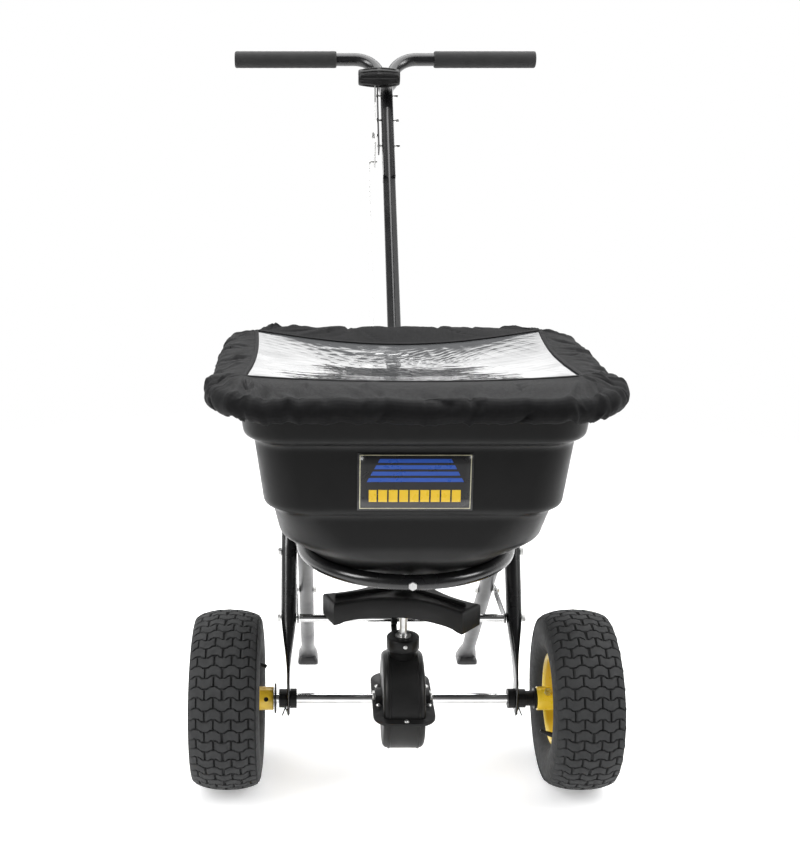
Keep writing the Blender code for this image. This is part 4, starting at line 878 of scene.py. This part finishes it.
class SPREADER_OT_gear_case(bpy.types.Operator):
    """Build the gear case's halves with their flange, collar, bosses and screws"""
    bl_idname = "spreader.gear_case"
    bl_label = "Gear case"

    def execute(self, context):
        for half, sign, finish in (("upper", 1, "black_plastic"), ("lower", -1, "case_plastic")):
            surfaces = [self.drum(sign), self.flange(sign)]
            if sign > 0:
                surfaces += [self.collar()] + [self.boss(side) for side in (-1, 1)]
            piece(f"gear_case_{half}_shell", surfaces, finish, "chassis", [f"gear_case_{half}"], sharp=40)
        screws = [screw_head(AXLE + [x, y, 0.0030], (0, 0, 1), 0.0042, 0.0030)
                  for x, y in ((-0.0385, -0.030), (0.0405, -0.030), (0.0020, -0.0825), (-0.0385, 0.034),
                               (0.0405, 0.034), (0.0, 0.0825))]
        set_screw = np.array([0.002, AXLE[1] - NECK_RADIUS + 0.0004, NECK_TOP - 0.0085])
        screws.append(screw_head(set_screw, (0, -1, 0), 0.0034, 0.0012))
        piece("case_screws", screws, "zinc", "chassis", sharp=40)
        section = ((0.0432, 0.0084), (0.0432, 0.0118), (0.0468, 0.0118), (0.0468, 0.0084))
        rings = [revolved(softened([(sign * x, r) for x, r in section], 0.0006), (0.0, AXLE[1], AXLE[2]), steps=36)
                 for sign in (-1, 1)]
        piece("case_rings", rings, "zinc", "axle_set", sharp=40)
        bends = ((0.0565, 0.2670), (0.0520, 0.2420), (0.0280, 0.2300), (0.0180, 0.2180))
        path = arc_path([place(-0.0115, y, z) for y, z in bends], 0.008, 6)
        strap = swept(path, 0.0048, 0.0016, sides=16, squareness=0.4)
        low, high = box_of("cross_tie")
        section = ((-0.0163, 0.0062), (-0.0163, 0.0098), (-0.0067, 0.0098), (-0.0067, 0.0062))
        wrap = revolved(softened(section, 0.0006), (0.0, (low[1] + high[1]) / 2, (low[2] + high[2]) / 2), steps=32)
        piece("torque_strap", [strap, wrap], "black_plastic", "chassis", ["torque_stay"], sharp=40)
        return {"FINISHED"}

    def drum(self, sign):
        """Half a turn of a section with rounded edges and a shallow belt between two lips; the first and last rows
        lie on the axle's line, which closes the parting face."""
        q = np.linspace(0, math.pi / 2, 7)
        edge = [(CASE_HALF - 0.0080 + 0.0080 * math.cos(a), CASE_RADIUS - 0.0095 + 0.0080 * math.sin(a)) for a in q]
        belt = CASE_RADIUS - 0.0010
        right = [(CASE_HALF, 0.0), (CASE_HALF, 0.030), (CASE_HALF, 0.060)] + edge + \
            [(0.0238, CASE_RADIUS), (0.0216, CASE_RADIUS), (0.0206, belt), (0.010, belt)]
        profile = np.array(right + [(-x, r) for x, r in right[::-1]])
        t = np.linspace(0, math.pi, 56) * sign
        parting = AXLE[2] + 0.00015 * sign
        x = np.broadcast_to(profile[:, 0], (len(t), len(profile)))
        y = AXLE[1] + profile[:, 1] * np.cos(t)[:, None]
        z = parting + profile[:, 1] * np.sin(t)[:, None]
        rows = np.stack([x, y, z], axis=-1)
        line = np.stack(np.broadcast_arrays(profile[:, 0], AXLE[1], parting), axis=-1)[None]
        return np.concatenate([line, rows, line]), False, False

    def flange(self, sign):
        """A flat rounded plate with a softened edge, closed above and below."""
        outline = rounded_outline(0.0480, -0.0890, 0.0890, 0.0300, 10, 8)
        heights = ((0.0002, 0.0), (0.0002, 1.0), (0.0022, 1.0), (0.0030, 0.982), (0.0030, 0.0))
        return np.array([np.concatenate([outline * k + [0, AXLE[1]],
                                         np.full((len(outline), 1), AXLE[2] + sign * z)], axis=1)
                         for z, k in heights]), False, True

    def collar(self):
        """The neck's collar: a turned ring on a narrower neck, open for the shaft's bush."""
        profile = [(0.0, 0.150), (0.0215, 0.150), (0.0215, 0.2240), (0.0232, 0.2262), (0.0250, 0.2268),
                   (NECK_RADIUS, 0.2280), (NECK_RADIUS, NECK_TOP - 0.0022),
                   (NECK_RADIUS - 0.0007, NECK_TOP - 0.0007), (NECK_RADIUS - 0.0022, NECK_TOP),
                   (0.0137, NECK_TOP), (0.0131, NECK_TOP - 0.0006), (0.0131, NECK_TOP - 0.012),
                   (0.0, NECK_TOP - 0.012)]
        t = np.linspace(0, 2 * math.pi, 56, endpoint=False)
        return np.array([np.stack([r * np.cos(t), AXLE[1] + r * np.sin(t), np.full_like(t, z)], axis=-1)
                         for r, z in profile]), False, True

    def boss(self, side):
        """A rounded block round the axle at the case's side."""
        path = np.linspace(AXLE + [side * 0.028, -0.004, 0.002], AXLE + [side * 0.0428, -0.004, 0.002], 6)
        return swept(path, 0.0185, 0.0125, sides=28, side=(0, 1, 0), squareness=0.5)


class SPREADER_OT_hub_details(bpy.types.Operator):
    """Build a thin black disc that paints the shade of the left hub's empty cross hole, and the split pins at the
    bearings
    """
    bl_idname = "spreader.hub_details"
    bl_label = "Hub details"

    def execute(self, context):
        toward = unit(np.array([0.0, -0.93, 0.36]))
        spot = np.array([-0.2150, AXLE[1], AXLE[2]]) + toward * 0.0182
        # No hole is cut: this thin black disc on the hub's face is painted shade where the cross hole lies dark.
        hole = [(0.0, 0.0), (0.0, 0.0036), (0.0005, 0.0036), (0.0005, 0.0031), (0.0003, 0.0028), (0.0003, 0.0)]
        piece("left_hub_hole", [turned(spot, toward, hole, 24)], "black_plastic", "left_wheel")
        for side in SIDES:
            low, high = box_of(f"axle_bearing_{side}")
            x = (low[0] + high[0]) / 2 + SIGNS[side] * 0.004
            bars = []
            for spread in (-1, 1):
                start = np.array([x, AXLE[1] - 0.004, low[2] + 0.002])
                end = start + [spread * 0.0050, -0.003, -0.0130]
                bars.append(swept(np.linspace(start, end, 6), 0.0011, sides=10, side=(0, 1, 0)))
            piece(f"{side}_split_pin", bars, "black_plastic", "chassis")
        return {"FINISHED"}


# ---------------------------------------------------------------- hopper
HOPPER_TIERS = (  # height, half width, front, back and corner radius, from the rim down
    (0.6720, 0.2620, -0.2400, 0.2620, 0.080),
    (0.6640, 0.2620, -0.2400, 0.2620, 0.080),
    (0.6638, 0.2400, -0.2190, 0.2360, 0.062),
    (0.6200, 0.2345, -0.2140, 0.2140, 0.060),
    (0.6130, 0.2205, -0.2040, 0.2030, 0.056),
    (0.5180, 0.2080, -0.2010, 0.1600, 0.058),
    (0.5110, 0.1965, -0.1930, 0.1480, 0.065),
    (0.4600, 0.1880, -0.1920, 0.1300, 0.100),
    (0.4420, 0.1790, -0.1840, 0.1260, 0.135),
    (0.4270, 0.1610, -0.1660, 0.1180, 0.138),
    (0.4150, 0.1500, -0.1520, 0.1140, 0.130),
    (0.4050, 0.1390, -0.1400, 0.1060, 0.122),
    (0.3960, 0.1130, -0.1120, 0.0980, 0.098),
    (0.3942, 0.0990, -0.0990, 0.0890, 0.092),
)
HOPPER_WALL = 0.0040


def hopper_rings(tiers):
    """A ring of points for each (height, half width, front, back, corner)."""
    rings = []
    for z, half_width, front, back, corner in tiers:
        corner = min(corner, half_width - 0.001, (back - front) / 2 - 0.001)
        outline = rounded_outline(half_width, front, back, corner, 14, 14)
        rings.append(np.concatenate([outline + [0, AXLE[1]], np.full((len(outline), 1), z)], axis=1))
    return np.array(rings)


class SPREADER_OT_hopper(bpy.types.Operator):
    """Build the hopper's stepped shell and its label"""
    bl_idname = "spreader.hopper"
    bl_label = "Hopper"

    samples, softness = 190, 2.2  # rings of the outside, and the bell curve that rounds its steps, in rings
    floor_lift = 0.0024

    def execute(self, context):
        tiers = np.array(HOPPER_TIERS)
        outside = blurred(resampled(tiers, self.samples), self.softness)
        inside = outside[8:][::-1] - [0, HOPPER_WALL, -HOPPER_WALL, HOPPER_WALL, HOPPER_WALL * 0.9]
        inside[1:, 0] += self.floor_lift
        rows = hopper_rings(np.concatenate([outside[::-1], inside[::-1]]))
        floor = [np.broadcast_to([0.0, AXLE[1], z], rows[:1].shape) for z in (outside[-1, 0], inside[0, 0] + 0.0010)]
        piece("hopper_shell", [(np.concatenate([floor[0], rows, floor[1]]), False, True)], "hopper_plastic",
              "chassis", ["hopper"], sharp=60)
        self.label(tiers)
        return {"FINISHED"}

    def label(self, tiers):
        """A thin plate that lies on the hopper's sloping front, just clear of it."""
        half_width, low_z, high_z, shift, proud, thickness = 0.0780, 0.5225, 0.6040, -0.0015, 0.0009, 0.0005
        z = np.linspace(low_z, high_z, 6)
        front = np.interp(z, tiers[::-1, 0], tiers[::-1, 2])
        x = np.linspace(-half_width, half_width, 12)
        grid = np.stack(np.broadcast_arrays(x[None, :] + shift, (AXLE[1] + front - proud)[:, None], z[:, None]),
                        axis=-1)
        uv = np.stack(np.broadcast_arrays((x[None, :] + half_width) / (2 * half_width),
                                          ((z - low_z) / (high_z - low_z))[:, None]), axis=-1)
        outer = piece("hopper_label", [(grid, False, False)], "label", "chassis", uv=uv, sharp=60, outward=False)
        solid = outer.modifiers.new("thickness", "SOLIDIFY")
        solid.thickness = thickness
        solid.offset = -1.0


# ---------------------------------------------------------------- cover
# Share of the sag at places from front to back.
SAG_ALONG = ((-0.255, 0.0), (-0.205, 0.03), (-0.150, 0.16), (-0.105, 0.34), (-0.020, 0.74), (0.070, 1.0),
             (0.140, 0.96), (0.205, 0.70), (0.245, 0.26), (0.268, 0.0), (0.300, 0.0))
PANEL = (0.236, -0.110, 0.238)  # clear panel's half width, front and back
PANEL_BOW = (0.030, 0.004, 0.030)  # how far its back and front edges bow, and its sides as a share
COVER_TOP = 0.6900
HEM_ROLL = ((0.0, 0.0), (0.0040, -0.0004), (0.0085, -0.0022), (0.0125, -0.0060), (0.0150, -0.0110),
            (0.0156, -0.0165), (0.0146, -0.0220), (0.0120, -0.0270), (0.0088, -0.0305), (0.0062, -0.0325),
            (0.0048, -0.0330), (0.0040, -0.0318), (0.0046, -0.0296))  # out from the rim, and up


def sag_height(x, y):
    """Height of the hanging sheet: its top less a sag that is a power curve across and a drawn curve along."""
    fine = np.linspace(-0.30, 0.32, 400)
    along = blurred(np.interp(fine, *np.array(SAG_ALONG).T)[:, None], 9)[:, 0]
    across = np.clip(1 - (np.abs(x) / 0.258) ** 2.1, 0, 1)
    return COVER_TOP - sizes().cover_sag * across * np.interp(y, fine, along)


def waves(position, counts, seed, sharp=False):
    """A sum of waves of whole counts round a loop (or per metre); sharp ones are 1 - |sin|, which gives ridges."""
    rng = np.random.default_rng(seed)
    total = np.zeros_like(position)
    for count in counts:
        wave = np.sin(count * position + rng.uniform(0, 2 * math.pi))
        total += rng.uniform(0.5, 1.0) * ((1 - 2 * np.abs(wave)) if sharp else wave)
    return total / len(counts)


def crinkles(x, y, seed=3):
    """Creases of a stiff clear sheet: ridged waves in scattered directions, bent by a slow wave."""
    rng = np.random.default_rng(seed)
    bend_x, bend_y = 0.012 * np.sin(21 * y + 1.0) * np.sin(13 * x), 0.010 * np.sin(17 * x + 2.0)
    total = np.zeros_like(x)
    for _ in range(16):
        angle, count = rng.uniform(0, math.pi), rng.uniform(110, 650)
        along = (x + bend_x) * math.cos(angle) + (y + bend_y) * math.sin(angle)
        gate = np.clip(np.sin(rng.uniform(9, 24) * x + rng.uniform(0, 6))
                       * np.sin(rng.uniform(9, 30) * y + rng.uniform(0, 6)), 0, 1)
        total += gate * (1 - np.abs(np.sin(count * along / 2 + rng.uniform(0, 6))) * 2) * 150 / (count + 60)
    return total / 8


def bowed(u, v):
    """The clear panel's x and y at u, -1 to 1 across, and v, 0 to 1 from front to back."""
    half, front, back = PANEL
    at_back, at_front, at_sides = PANEL_BOW
    arch = 1 - u ** 2
    x = u * half * (1 - at_sides * np.sin(np.clip(v, 0, 1) * math.pi))
    y = front + v * (back - front) - at_back * arch * step(v, 0.0, 1.0) ** 3 - at_front * arch * (1 - v) ** 3
    return x, y


def panel_outline(per_corner, per_side):
    """The clear panel's edge: a rectangle whose back edge bows forward and whose sides bow inward."""
    half, front, back = PANEL
    outline = rounded_outline(half, front, back, 0.004, per_corner, per_side)
    x, share = outline[:, 0], (outline[:, 1] - front) / (back - front)
    return np.stack(bowed(x / half, share), axis=-1)


class SPREADER_OT_cover(bpy.types.Operator):
    """Build the nylon cover with its elastic hem and its sagging clear panel"""
    bl_idname = "spreader.cover"
    bl_label = "Cover"

    per_corner, per_side = 64, 72  # points round each corner and along each side
    strip_rows, roll_rows = 44, 34
    panel_columns, panel_rows = 230, 170
    rim = (0.2690, -0.2460, 0.2700, 0.0930)  # half width, front, back and corner radius of the covered rim
    crease_count, crease_height, crinkle_height = 230, 0.0056, 0.0070

    def execute(self, context):
        points, uv = self.cloth()
        cloth = piece("cover_skin", [(points, False, True)], "cover_cloth", "cover", ["hopper_cover"], sharp=180,
                      uv=uv, outward=False)
        panel = self.panel()
        binding = self.binding()
        return {"FINISHED"}

    def cloth(self):
        """Rings from the panel's edge to the rim, lerped in plan and hung on the sag; then the roll over the rim,
        whose section is an ellipse-like curve pushed out by folds that grow towards the elastic."""
        inner = panel_outline(self.per_corner, self.per_side)
        rim = rounded_outline(*self.rim, self.per_corner, self.per_side)
        gap = np.linalg.norm(np.roll(rim, -1, axis=0) - rim, axis=1)
        length = np.concatenate([[0], np.cumsum(gap)[:-1]])
        around = length / gap.sum() * 2 * math.pi
        out = unit(np.stack([np.roll(rim, -1, 0)[:, 1] - np.roll(rim, 1, 0)[:, 1],
                             np.roll(rim, 1, 0)[:, 0] - np.roll(rim, -1, 0)[:, 0]], axis=-1))
        corner = np.clip(np.abs(out[:, 0] * out[:, 1]) * 2.4, 0, 1)
        share = np.linspace(0, 1, self.strip_rows)[:, None]
        plan = inner[None] * (1 - share[..., None]) + rim[None] * share[..., None]
        x, y = plan[..., 0], plan[..., 1]
        soft = waves(around, (9, 14, 19, 26, 33), 5)
        tight = waves(around, (41, 53, 67, 83, 97), 11)
        fine = waves(around, (131, 157, 181, 211), 23, sharp=True)
        puff = 0.0022 * np.sin(share * math.pi) ** 2 * step(-y, -0.05, 0.16)
        z = sag_height(x, y) + puff
        z = z + share ** 1.5 * (0.0036 * soft + 0.0026 * tight * (0.4 + corner)) + 0.0016 * share * fine * corner
        z = z + self.creases(around, share, length, gap.sum()) + self.seams(x, y)
        rows = [np.stack([x, AXLE[1] + y, z], axis=-1)]
        roll = resampled(HEM_ROLL, self.roll_rows + 1)[1:]
        t = np.linspace(0, 1, self.roll_rows)[:, None]
        grow, late = step(t, 0.0, 0.7), step(t, 0.40, 0.92)
        gather = sizes().gather
        push = roll[:, :1] + grow * (0.0026 * soft + 0.0024 * tight) + late * gather * (0.45 * tight + 0.75 * fine)
        push = push + self.creases(around, 1.0 + t, length, gap.sum()) + self.seams(*rim.T)[None]
        drop = roll[:, 1:] + late * gather * (0.45 * tight + 0.50 * fine)
        plan = rim[None] + out[None] * push[..., None]
        rows.append(np.stack([plan[..., 0], AXLE[1] + plan[..., 1], rows[0][-1, :, 2][None] + drop], axis=-1))
        points = np.concatenate(rows)
        uv = points[..., :2].copy()
        beyond = np.linspace(0.001, 0.055, self.roll_rows)[:, None, None]
        uv[self.strip_rows:] = points[self.strip_rows - 1, :, :2] + out[None] * beyond
        return points[:, ::-1], uv[:, ::-1]

    def seams(self, x, y):
        """Two sewn lines that run sideways from the panel's front corners: a narrow valley, and cloth that stands
        prouder in front of it."""
        beyond = step(np.abs(x), 0.222, 0.240)
        return beyond * (0.0030 * step(-y, 0.110, 0.118) - 0.0034 * np.exp(-((y + 0.112) / 0.0022) ** 2))

    def creases(self, around, rows, length, total):
        """Short sharp folds: bell curves across slanted lines, each fading out along its own stretch of rows."""
        rng = np.random.default_rng(17)
        height = np.zeros(np.broadcast(rows, around[None]).shape)
        for _ in range(self.crease_count):
            at, slant = rng.uniform(0, total), rng.uniform(-0.05, 0.05)
            width, high = rng.uniform(0.0022, 0.0070), rng.uniform(-1.0, 0.8)
            middle, reach = rng.uniform(0.35, 1.95), rng.uniform(0.12, 0.45)
            away = (length[None] - at - slant * (rows - middle) + total / 2) % total - total / 2
            fade = np.exp(-((rows - middle) / reach) ** 2)
            height += self.crease_height * high * np.exp(-(away / width) ** 2) * fade
        return height

    def panel(self):
        """The clear panel: a rectangle bowed to the outline of its edges, hung on the sag, with fine creases."""
        u, v = np.meshgrid(np.linspace(-1, 1, self.panel_columns), np.linspace(0, 1, self.panel_rows))
        x, y = bowed(u, v)
        inside = step(np.minimum(np.minimum(1 - np.abs(u), v * 1.2), (1 - v) * 1.2), 0.0, 0.10)
        dense = 0.12 + 1.2 * np.exp(-((v - 0.80) / 0.22) ** 2) * np.exp(-(u / 0.62) ** 2)
        pull = np.sin(np.abs(u) * 9 - v * 7) * np.abs(u) ** 1.5
        z = sag_height(x, y) - 0.0006 + inside * (crinkles(x, y) * self.crinkle_height * dense + 0.0011 * pull)
        points = np.stack([x, AXLE[1] + y, z], axis=-1)
        return piece("cover_window", [(points, False, False)], "vinyl", "cover", sharp=180, outward=False)

    def binding(self):
        """A narrow folded hem that laps the clear panel's edge: a flat bar swept round the outline."""
        outline = panel_outline(20, 36)
        z = sag_height(outline[:, 0], outline[:, 1]) + 0.0006
        centre = np.stack([outline[:, 0], AXLE[1] + outline[:, 1], z], axis=-1)
        out = unit(np.stack([np.roll(outline, -1, 0)[:, 1] - np.roll(outline, 1, 0)[:, 1],
                             np.roll(outline, 1, 0)[:, 0] - np.roll(outline, -1, 0)[:, 0],
                             np.zeros(len(outline))], axis=-1))
        t = np.linspace(0, 2 * math.pi, 12, endpoint=False)
        ring = (out[:, None] * (0.0034 * np.sign(np.cos(t)) * np.abs(np.cos(t)) ** 0.6)[:, None]
                + np.array([0, 0, 1.0]) * (0.0009 * np.sin(t))[:, None])
        points = centre[:, None] + ring
        uv = np.stack(np.broadcast_arrays(np.linspace(0, 1.5, len(outline))[:, None],
                                          np.linspace(0, 0.01, 12)[None, :]), axis=-1)
        return piece("cover_binding", [(points, True, True)], "cover_cloth", "cover", sharp=180, uv=uv)


# ---------------------------------------------------------------- impeller
IMPELLER_LOW, IMPELLER_HIGH = 0.2960, 0.3275
IMPELLER_TURN = 200  # degrees to the first arm
ARM_REACH, ARM_HALF, ARM_WAIST = 0.1250, 0.0240, 0.0440  # arm's end, half width, and the waist between arms


def impeller_ring(inset=0.0, per_side=26):
    """Plan of three blunt arms at 120 degrees; each side between arms is a quadratic curve through its waist."""
    reach, half, waist = (size - inset for size in (ARM_REACH, ARM_HALF, ARM_WAIST))
    loop = []
    for i in range(3):
        arm = math.radians(IMPELLER_TURN + 120 * i)
        ahead, across = np.array([math.cos(arm), math.sin(arm)]), np.array([-math.sin(arm), math.cos(arm)])
        turn = math.radians(120)
        next_ahead = np.array([math.cos(arm + turn), math.sin(arm + turn)])
        next_across = np.array([-math.sin(arm + turn), math.cos(arm + turn)])
        first, second = ahead * reach - across * half, ahead * reach + across * half
        after = next_ahead * reach - next_across * half
        middle = np.array([math.cos(arm + turn / 2), math.sin(arm + turn / 2)]) * waist
        control = 2 * middle - (second + after) / 2
        t = np.linspace(0, 1, 8)[:-1, None]
        loop.append(first * (1 - t) + second * t)
        t = np.linspace(0, 1, per_side)[:-1, None]
        loop.append(second * (1 - t) ** 2 + control * 2 * t * (1 - t) + after * t ** 2)
    return np.concatenate(loop)


class SPREADER_OT_impeller(bpy.types.Operator):
    """Build the impeller's three-armed dish"""
    bl_idname = "spreader.impeller"
    bl_label = "Impeller"

    def execute(self, context):
        low, high = IMPELLER_LOW, IMPELLER_HIGH
        # Height, inset of the arms' outline, or else the radius of a circle.
        stations = ((high + 0.018, 0, 0.0), (high + 0.018, 0, 0.0160), (high + 0.016, 0, 0.0178),
                    (high + 0.002, 0, 0.0205), (high, 0, 0.0240), (high, 0.0060, None), (high - 0.0004, 0.0030, None),
                    (high - 0.0018, 0.0010, None), (high - 0.0045, 0.0, None), (low + 0.002, 0.0, None),
                    (low, 0.0004, None), (low, 0.0022, None), (low + 0.001, 0.0027, None),
                    (high - 0.0034, 0.0028, None), (high - 0.0030, 0.0060, None), (high - 0.0030, 0, 0.0200),
                    (low + 0.006, 0, 0.0140), (low + 0.004, 0, 0.0135), (low + 0.004, 0, 0.0))
        rows = []
        angle = np.arctan2(*impeller_ring()[:, ::-1].T)
        for z, inset, circle in stations:
            ring = impeller_ring(inset)
            if circle is not None:
                ring = np.stack([np.cos(angle), np.sin(angle)], axis=-1) * circle
            lip = 0.0030 * step(np.linalg.norm(impeller_ring(), axis=1), 0.104, 0.120) * (z < low + 0.0015)
            rows.append(np.stack([ring[:, 0], AXLE[1] + ring[:, 1], z - lip * (circle is None)], axis=-1))
        surfaces = [(np.array(rows), False, True)]
        for i in range(3):
            arm = math.radians(IMPELLER_TURN + 120 * i)
            ahead = np.array([math.cos(arm), math.sin(arm), 0.0])
            start, end = (np.array([0, AXLE[1], high + 0.0010]) + ahead * r for r in (0.012, 0.114))
            path = np.linspace(start, end, 8)
            surfaces.append(swept(path, 0.0020, 0.0050, sides=16, side=(-ahead[1], ahead[0], 0.0), squareness=0.45))
        piece("impeller_dish", surfaces, "black_plastic", "spinner", ["impeller"], sharp=35)
        return {"FINISHED"}


# ---------------------------------------------------------------- stage
class SPREADER_OT_stage(bpy.types.Operator):
    """Set the floor, the soft lights and the camera"""
    bl_idname = "spreader.stage"
    bl_label = "Stage"

    # Name, place, aim, width, height and watts.
    lamps = (("left_softbox", (-2.3, -1.6, 2.2), (0, -0.1, 0.5), 1.1, 2.0, 88.0),
             ("right_softbox", (2.4, -1.2, 2.3), (0, -0.1, 0.5), 1.1, 2.0, 78.0),
             ("overhead", (0.0, 0.7, 3.0), (0, 0, 0.4), 3.8, 3.0, 170.0))

    backdrop, room = 1.9, 0.13  # strengths of the world's light from behind and from all round
    lens, sensor, shift = 52.1, 36.0, (0.0908, -0.0180)
    eye, tilt = (-0.127, -1.8, 1.067), 0.251  # from the axle's vertical plane; radians below level

    def execute(self, context):
        scene = context.scene
        scene.view_settings.view_transform = "Standard"
        scene.view_settings.look = "None"
        self.floor(scene)
        self.world(scene)
        for name, location, aim, width, height, power in self.lamps:
            data = bpy.data.lights.new(name, "AREA")
            data.shape = "RECTANGLE"
            data.size, data.size_y, data.energy = width, height, power
            light = bpy.data.objects.new(name, data)
            light.location = location
            light.rotation_euler = (Vector(aim) - Vector(location)).to_track_quat("-Z", "Y").to_euler()
            scene.collection.objects.link(light)
        data = bpy.data.cameras.new("camera")
        data.lens, data.sensor_width = self.lens, self.sensor
        data.shift_x, data.shift_y = self.shift
        camera = bpy.data.objects.new("camera", data)
        camera.location = place(*self.eye)
        camera.rotation_euler = (math.pi / 2 - self.tilt, 0.0, 0.0)
        scene.collection.objects.link(camera)
        scene.camera = camera
        return {"FINISHED"}

    def floor(self, scene):
        """A pale sheet that fades out with its distance from the object."""
        mesh = bpy.data.meshes.new("floor")
        mesh.from_pydata([(-8, -8, 0), (8, -8, 0), (8, 8, 0), (-8, 8, 0)], [], [(0, 1, 2, 3)])
        floor = bpy.data.objects.new("floor", mesh)
        paper = Finish("pale_floor", (0.92, 0.92, 0.92), 0.6, emission_strength=0.35)
        paper.set("Emission Color", (1.0, 1.0, 1.0, 1.0))
        paper.set("Base Color", paper.blend(paper.range(paper.noise(1.5), 0.3, 0.7, 0, 1), (0.92, 0.92, 0.92),
                                            (0.90, 0.90, 0.905)))
        distance = paper.node("VectorMath", {"operation": "LENGTH"}, output=1, vector=paper.place())
        paper.set("Alpha", paper.range(distance, 0.9, 2.2, 1.0, 0.0))
        mesh.materials.append(paper.material)
        scene.collection.objects.link(floor)

    def world(self, scene):
        """White behind the object as seen; as a light, a bright low backdrop behind and a dim room elsewhere."""
        world = bpy.data.worlds.new("studio")
        world.use_nodes = True
        nodes, link = world.node_tree.nodes, world.node_tree.links.new
        seen, lit = nodes["Background"], nodes.new("ShaderNodeBackground")
        seen.inputs[0].default_value = (1, 1, 1, 1)
        split = nodes.new("ShaderNodeSeparateXYZ")
        link(nodes.new("ShaderNodeTexCoord").outputs["Generated"], split.inputs[0])

        def ramp(axis, settings):
            node = nodes.new("ShaderNodeMapRange")
            for slot, value in zip(node.inputs[1:5], settings):
                slot.default_value = value
            link(split.outputs[axis], node.inputs[0])
            return node

        low = ramp(2, (0.30, 0.48, 1.0, 0.0))
        low.interpolation_type = "SMOOTHSTEP"
        behind = ramp(1, (-0.1, 0.5, 0.10, 1.0))
        both, strength = nodes.new("ShaderNodeMath"), nodes.new("ShaderNodeMath")
        both.operation, strength.operation = "MULTIPLY", "MULTIPLY_ADD"
        link(low.outputs[0], both.inputs[0])
        link(behind.outputs[0], both.inputs[1])
        link(both.outputs[0], strength.inputs[0])
        strength.inputs[1].default_value, strength.inputs[2].default_value = self.backdrop, self.room
        link(strength.outputs[0], lit.inputs[1])
        mix = nodes.new("ShaderNodeMixShader")
        link(nodes.new("ShaderNodeLightPath").outputs["Is Camera Ray"], mix.inputs[0])
        link(lit.outputs[0], mix.inputs[1])
        link(seen.outputs[0], mix.inputs[2])
        link(mix.outputs[0], nodes["World Output"].inputs[0])
        scene.world = world


class SPREADER_OT_hardware(bpy.types.Operator):
    """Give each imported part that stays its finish"""
    bl_idname = "spreader.hardware"
    bl_label = "Hardware"

    def execute(self, context):
        finish_of = {s["node"]: s["material_slot"] for s in frame["record"]["subparts"]}
        for name, node in frame["nodes"].items():
            node.data.materials.clear()
            node.data.materials.append(FINISHES[finish_of[name]].material)
        return {"FINISHED"}


class SPREADER_PT_looks(bpy.types.Panel):
    """Buttons for each group of pieces"""
    bl_label = "Spreader Looks"
    bl_idname = "SPREADER_PT_looks"
    bl_space_type = "VIEW_3D"
    bl_region_type = "UI"
    bl_category = "Spreader"

    def draw(self, context):
        for kind in OPERATORS:
            self.layout.operator(kind.bl_idname)
        for name in SpreaderSizes.__annotations__:
            self.layout.prop(context.scene.spreader_sizes, name)
        for name in SpreaderColours.__annotations__:
            self.layout.prop(context.scene.spreader_colours, name)


OPERATORS = (SPREADER_OT_hardware, SPREADER_OT_frame, SPREADER_OT_handle, SPREADER_OT_wheels,
             SPREADER_OT_hub_details, SPREADER_OT_knob, SPREADER_OT_gear_case, SPREADER_OT_impeller,
             SPREADER_OT_hopper, SPREADER_OT_cover, SPREADER_OT_stage)
CLASSES = (SpreaderColours, SpreaderSizes, *OPERATORS, SPREADER_PT_looks)


def register():
    for kind in CLASSES:
        bpy.utils.register_class(kind)
    bpy.types.Scene.spreader_colours = PointerProperty(type=SpreaderColours)
    bpy.types.Scene.spreader_sizes = PointerProperty(type=SpreaderSizes)


def unregister():
    del bpy.types.Scene.spreader_sizes
    del bpy.types.Scene.spreader_colours
    for kind in reversed(CLASSES):
        bpy.utils.unregister_class(kind)


def main():
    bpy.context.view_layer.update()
    register()
    make_finishes(bpy.context.scene.spreader_colours)
    for kind in OPERATORS:
        area, name = kind.bl_idname.split(".")
        getattr(getattr(bpy.ops, area), name)()


if __name__ == "__main__":
    main()
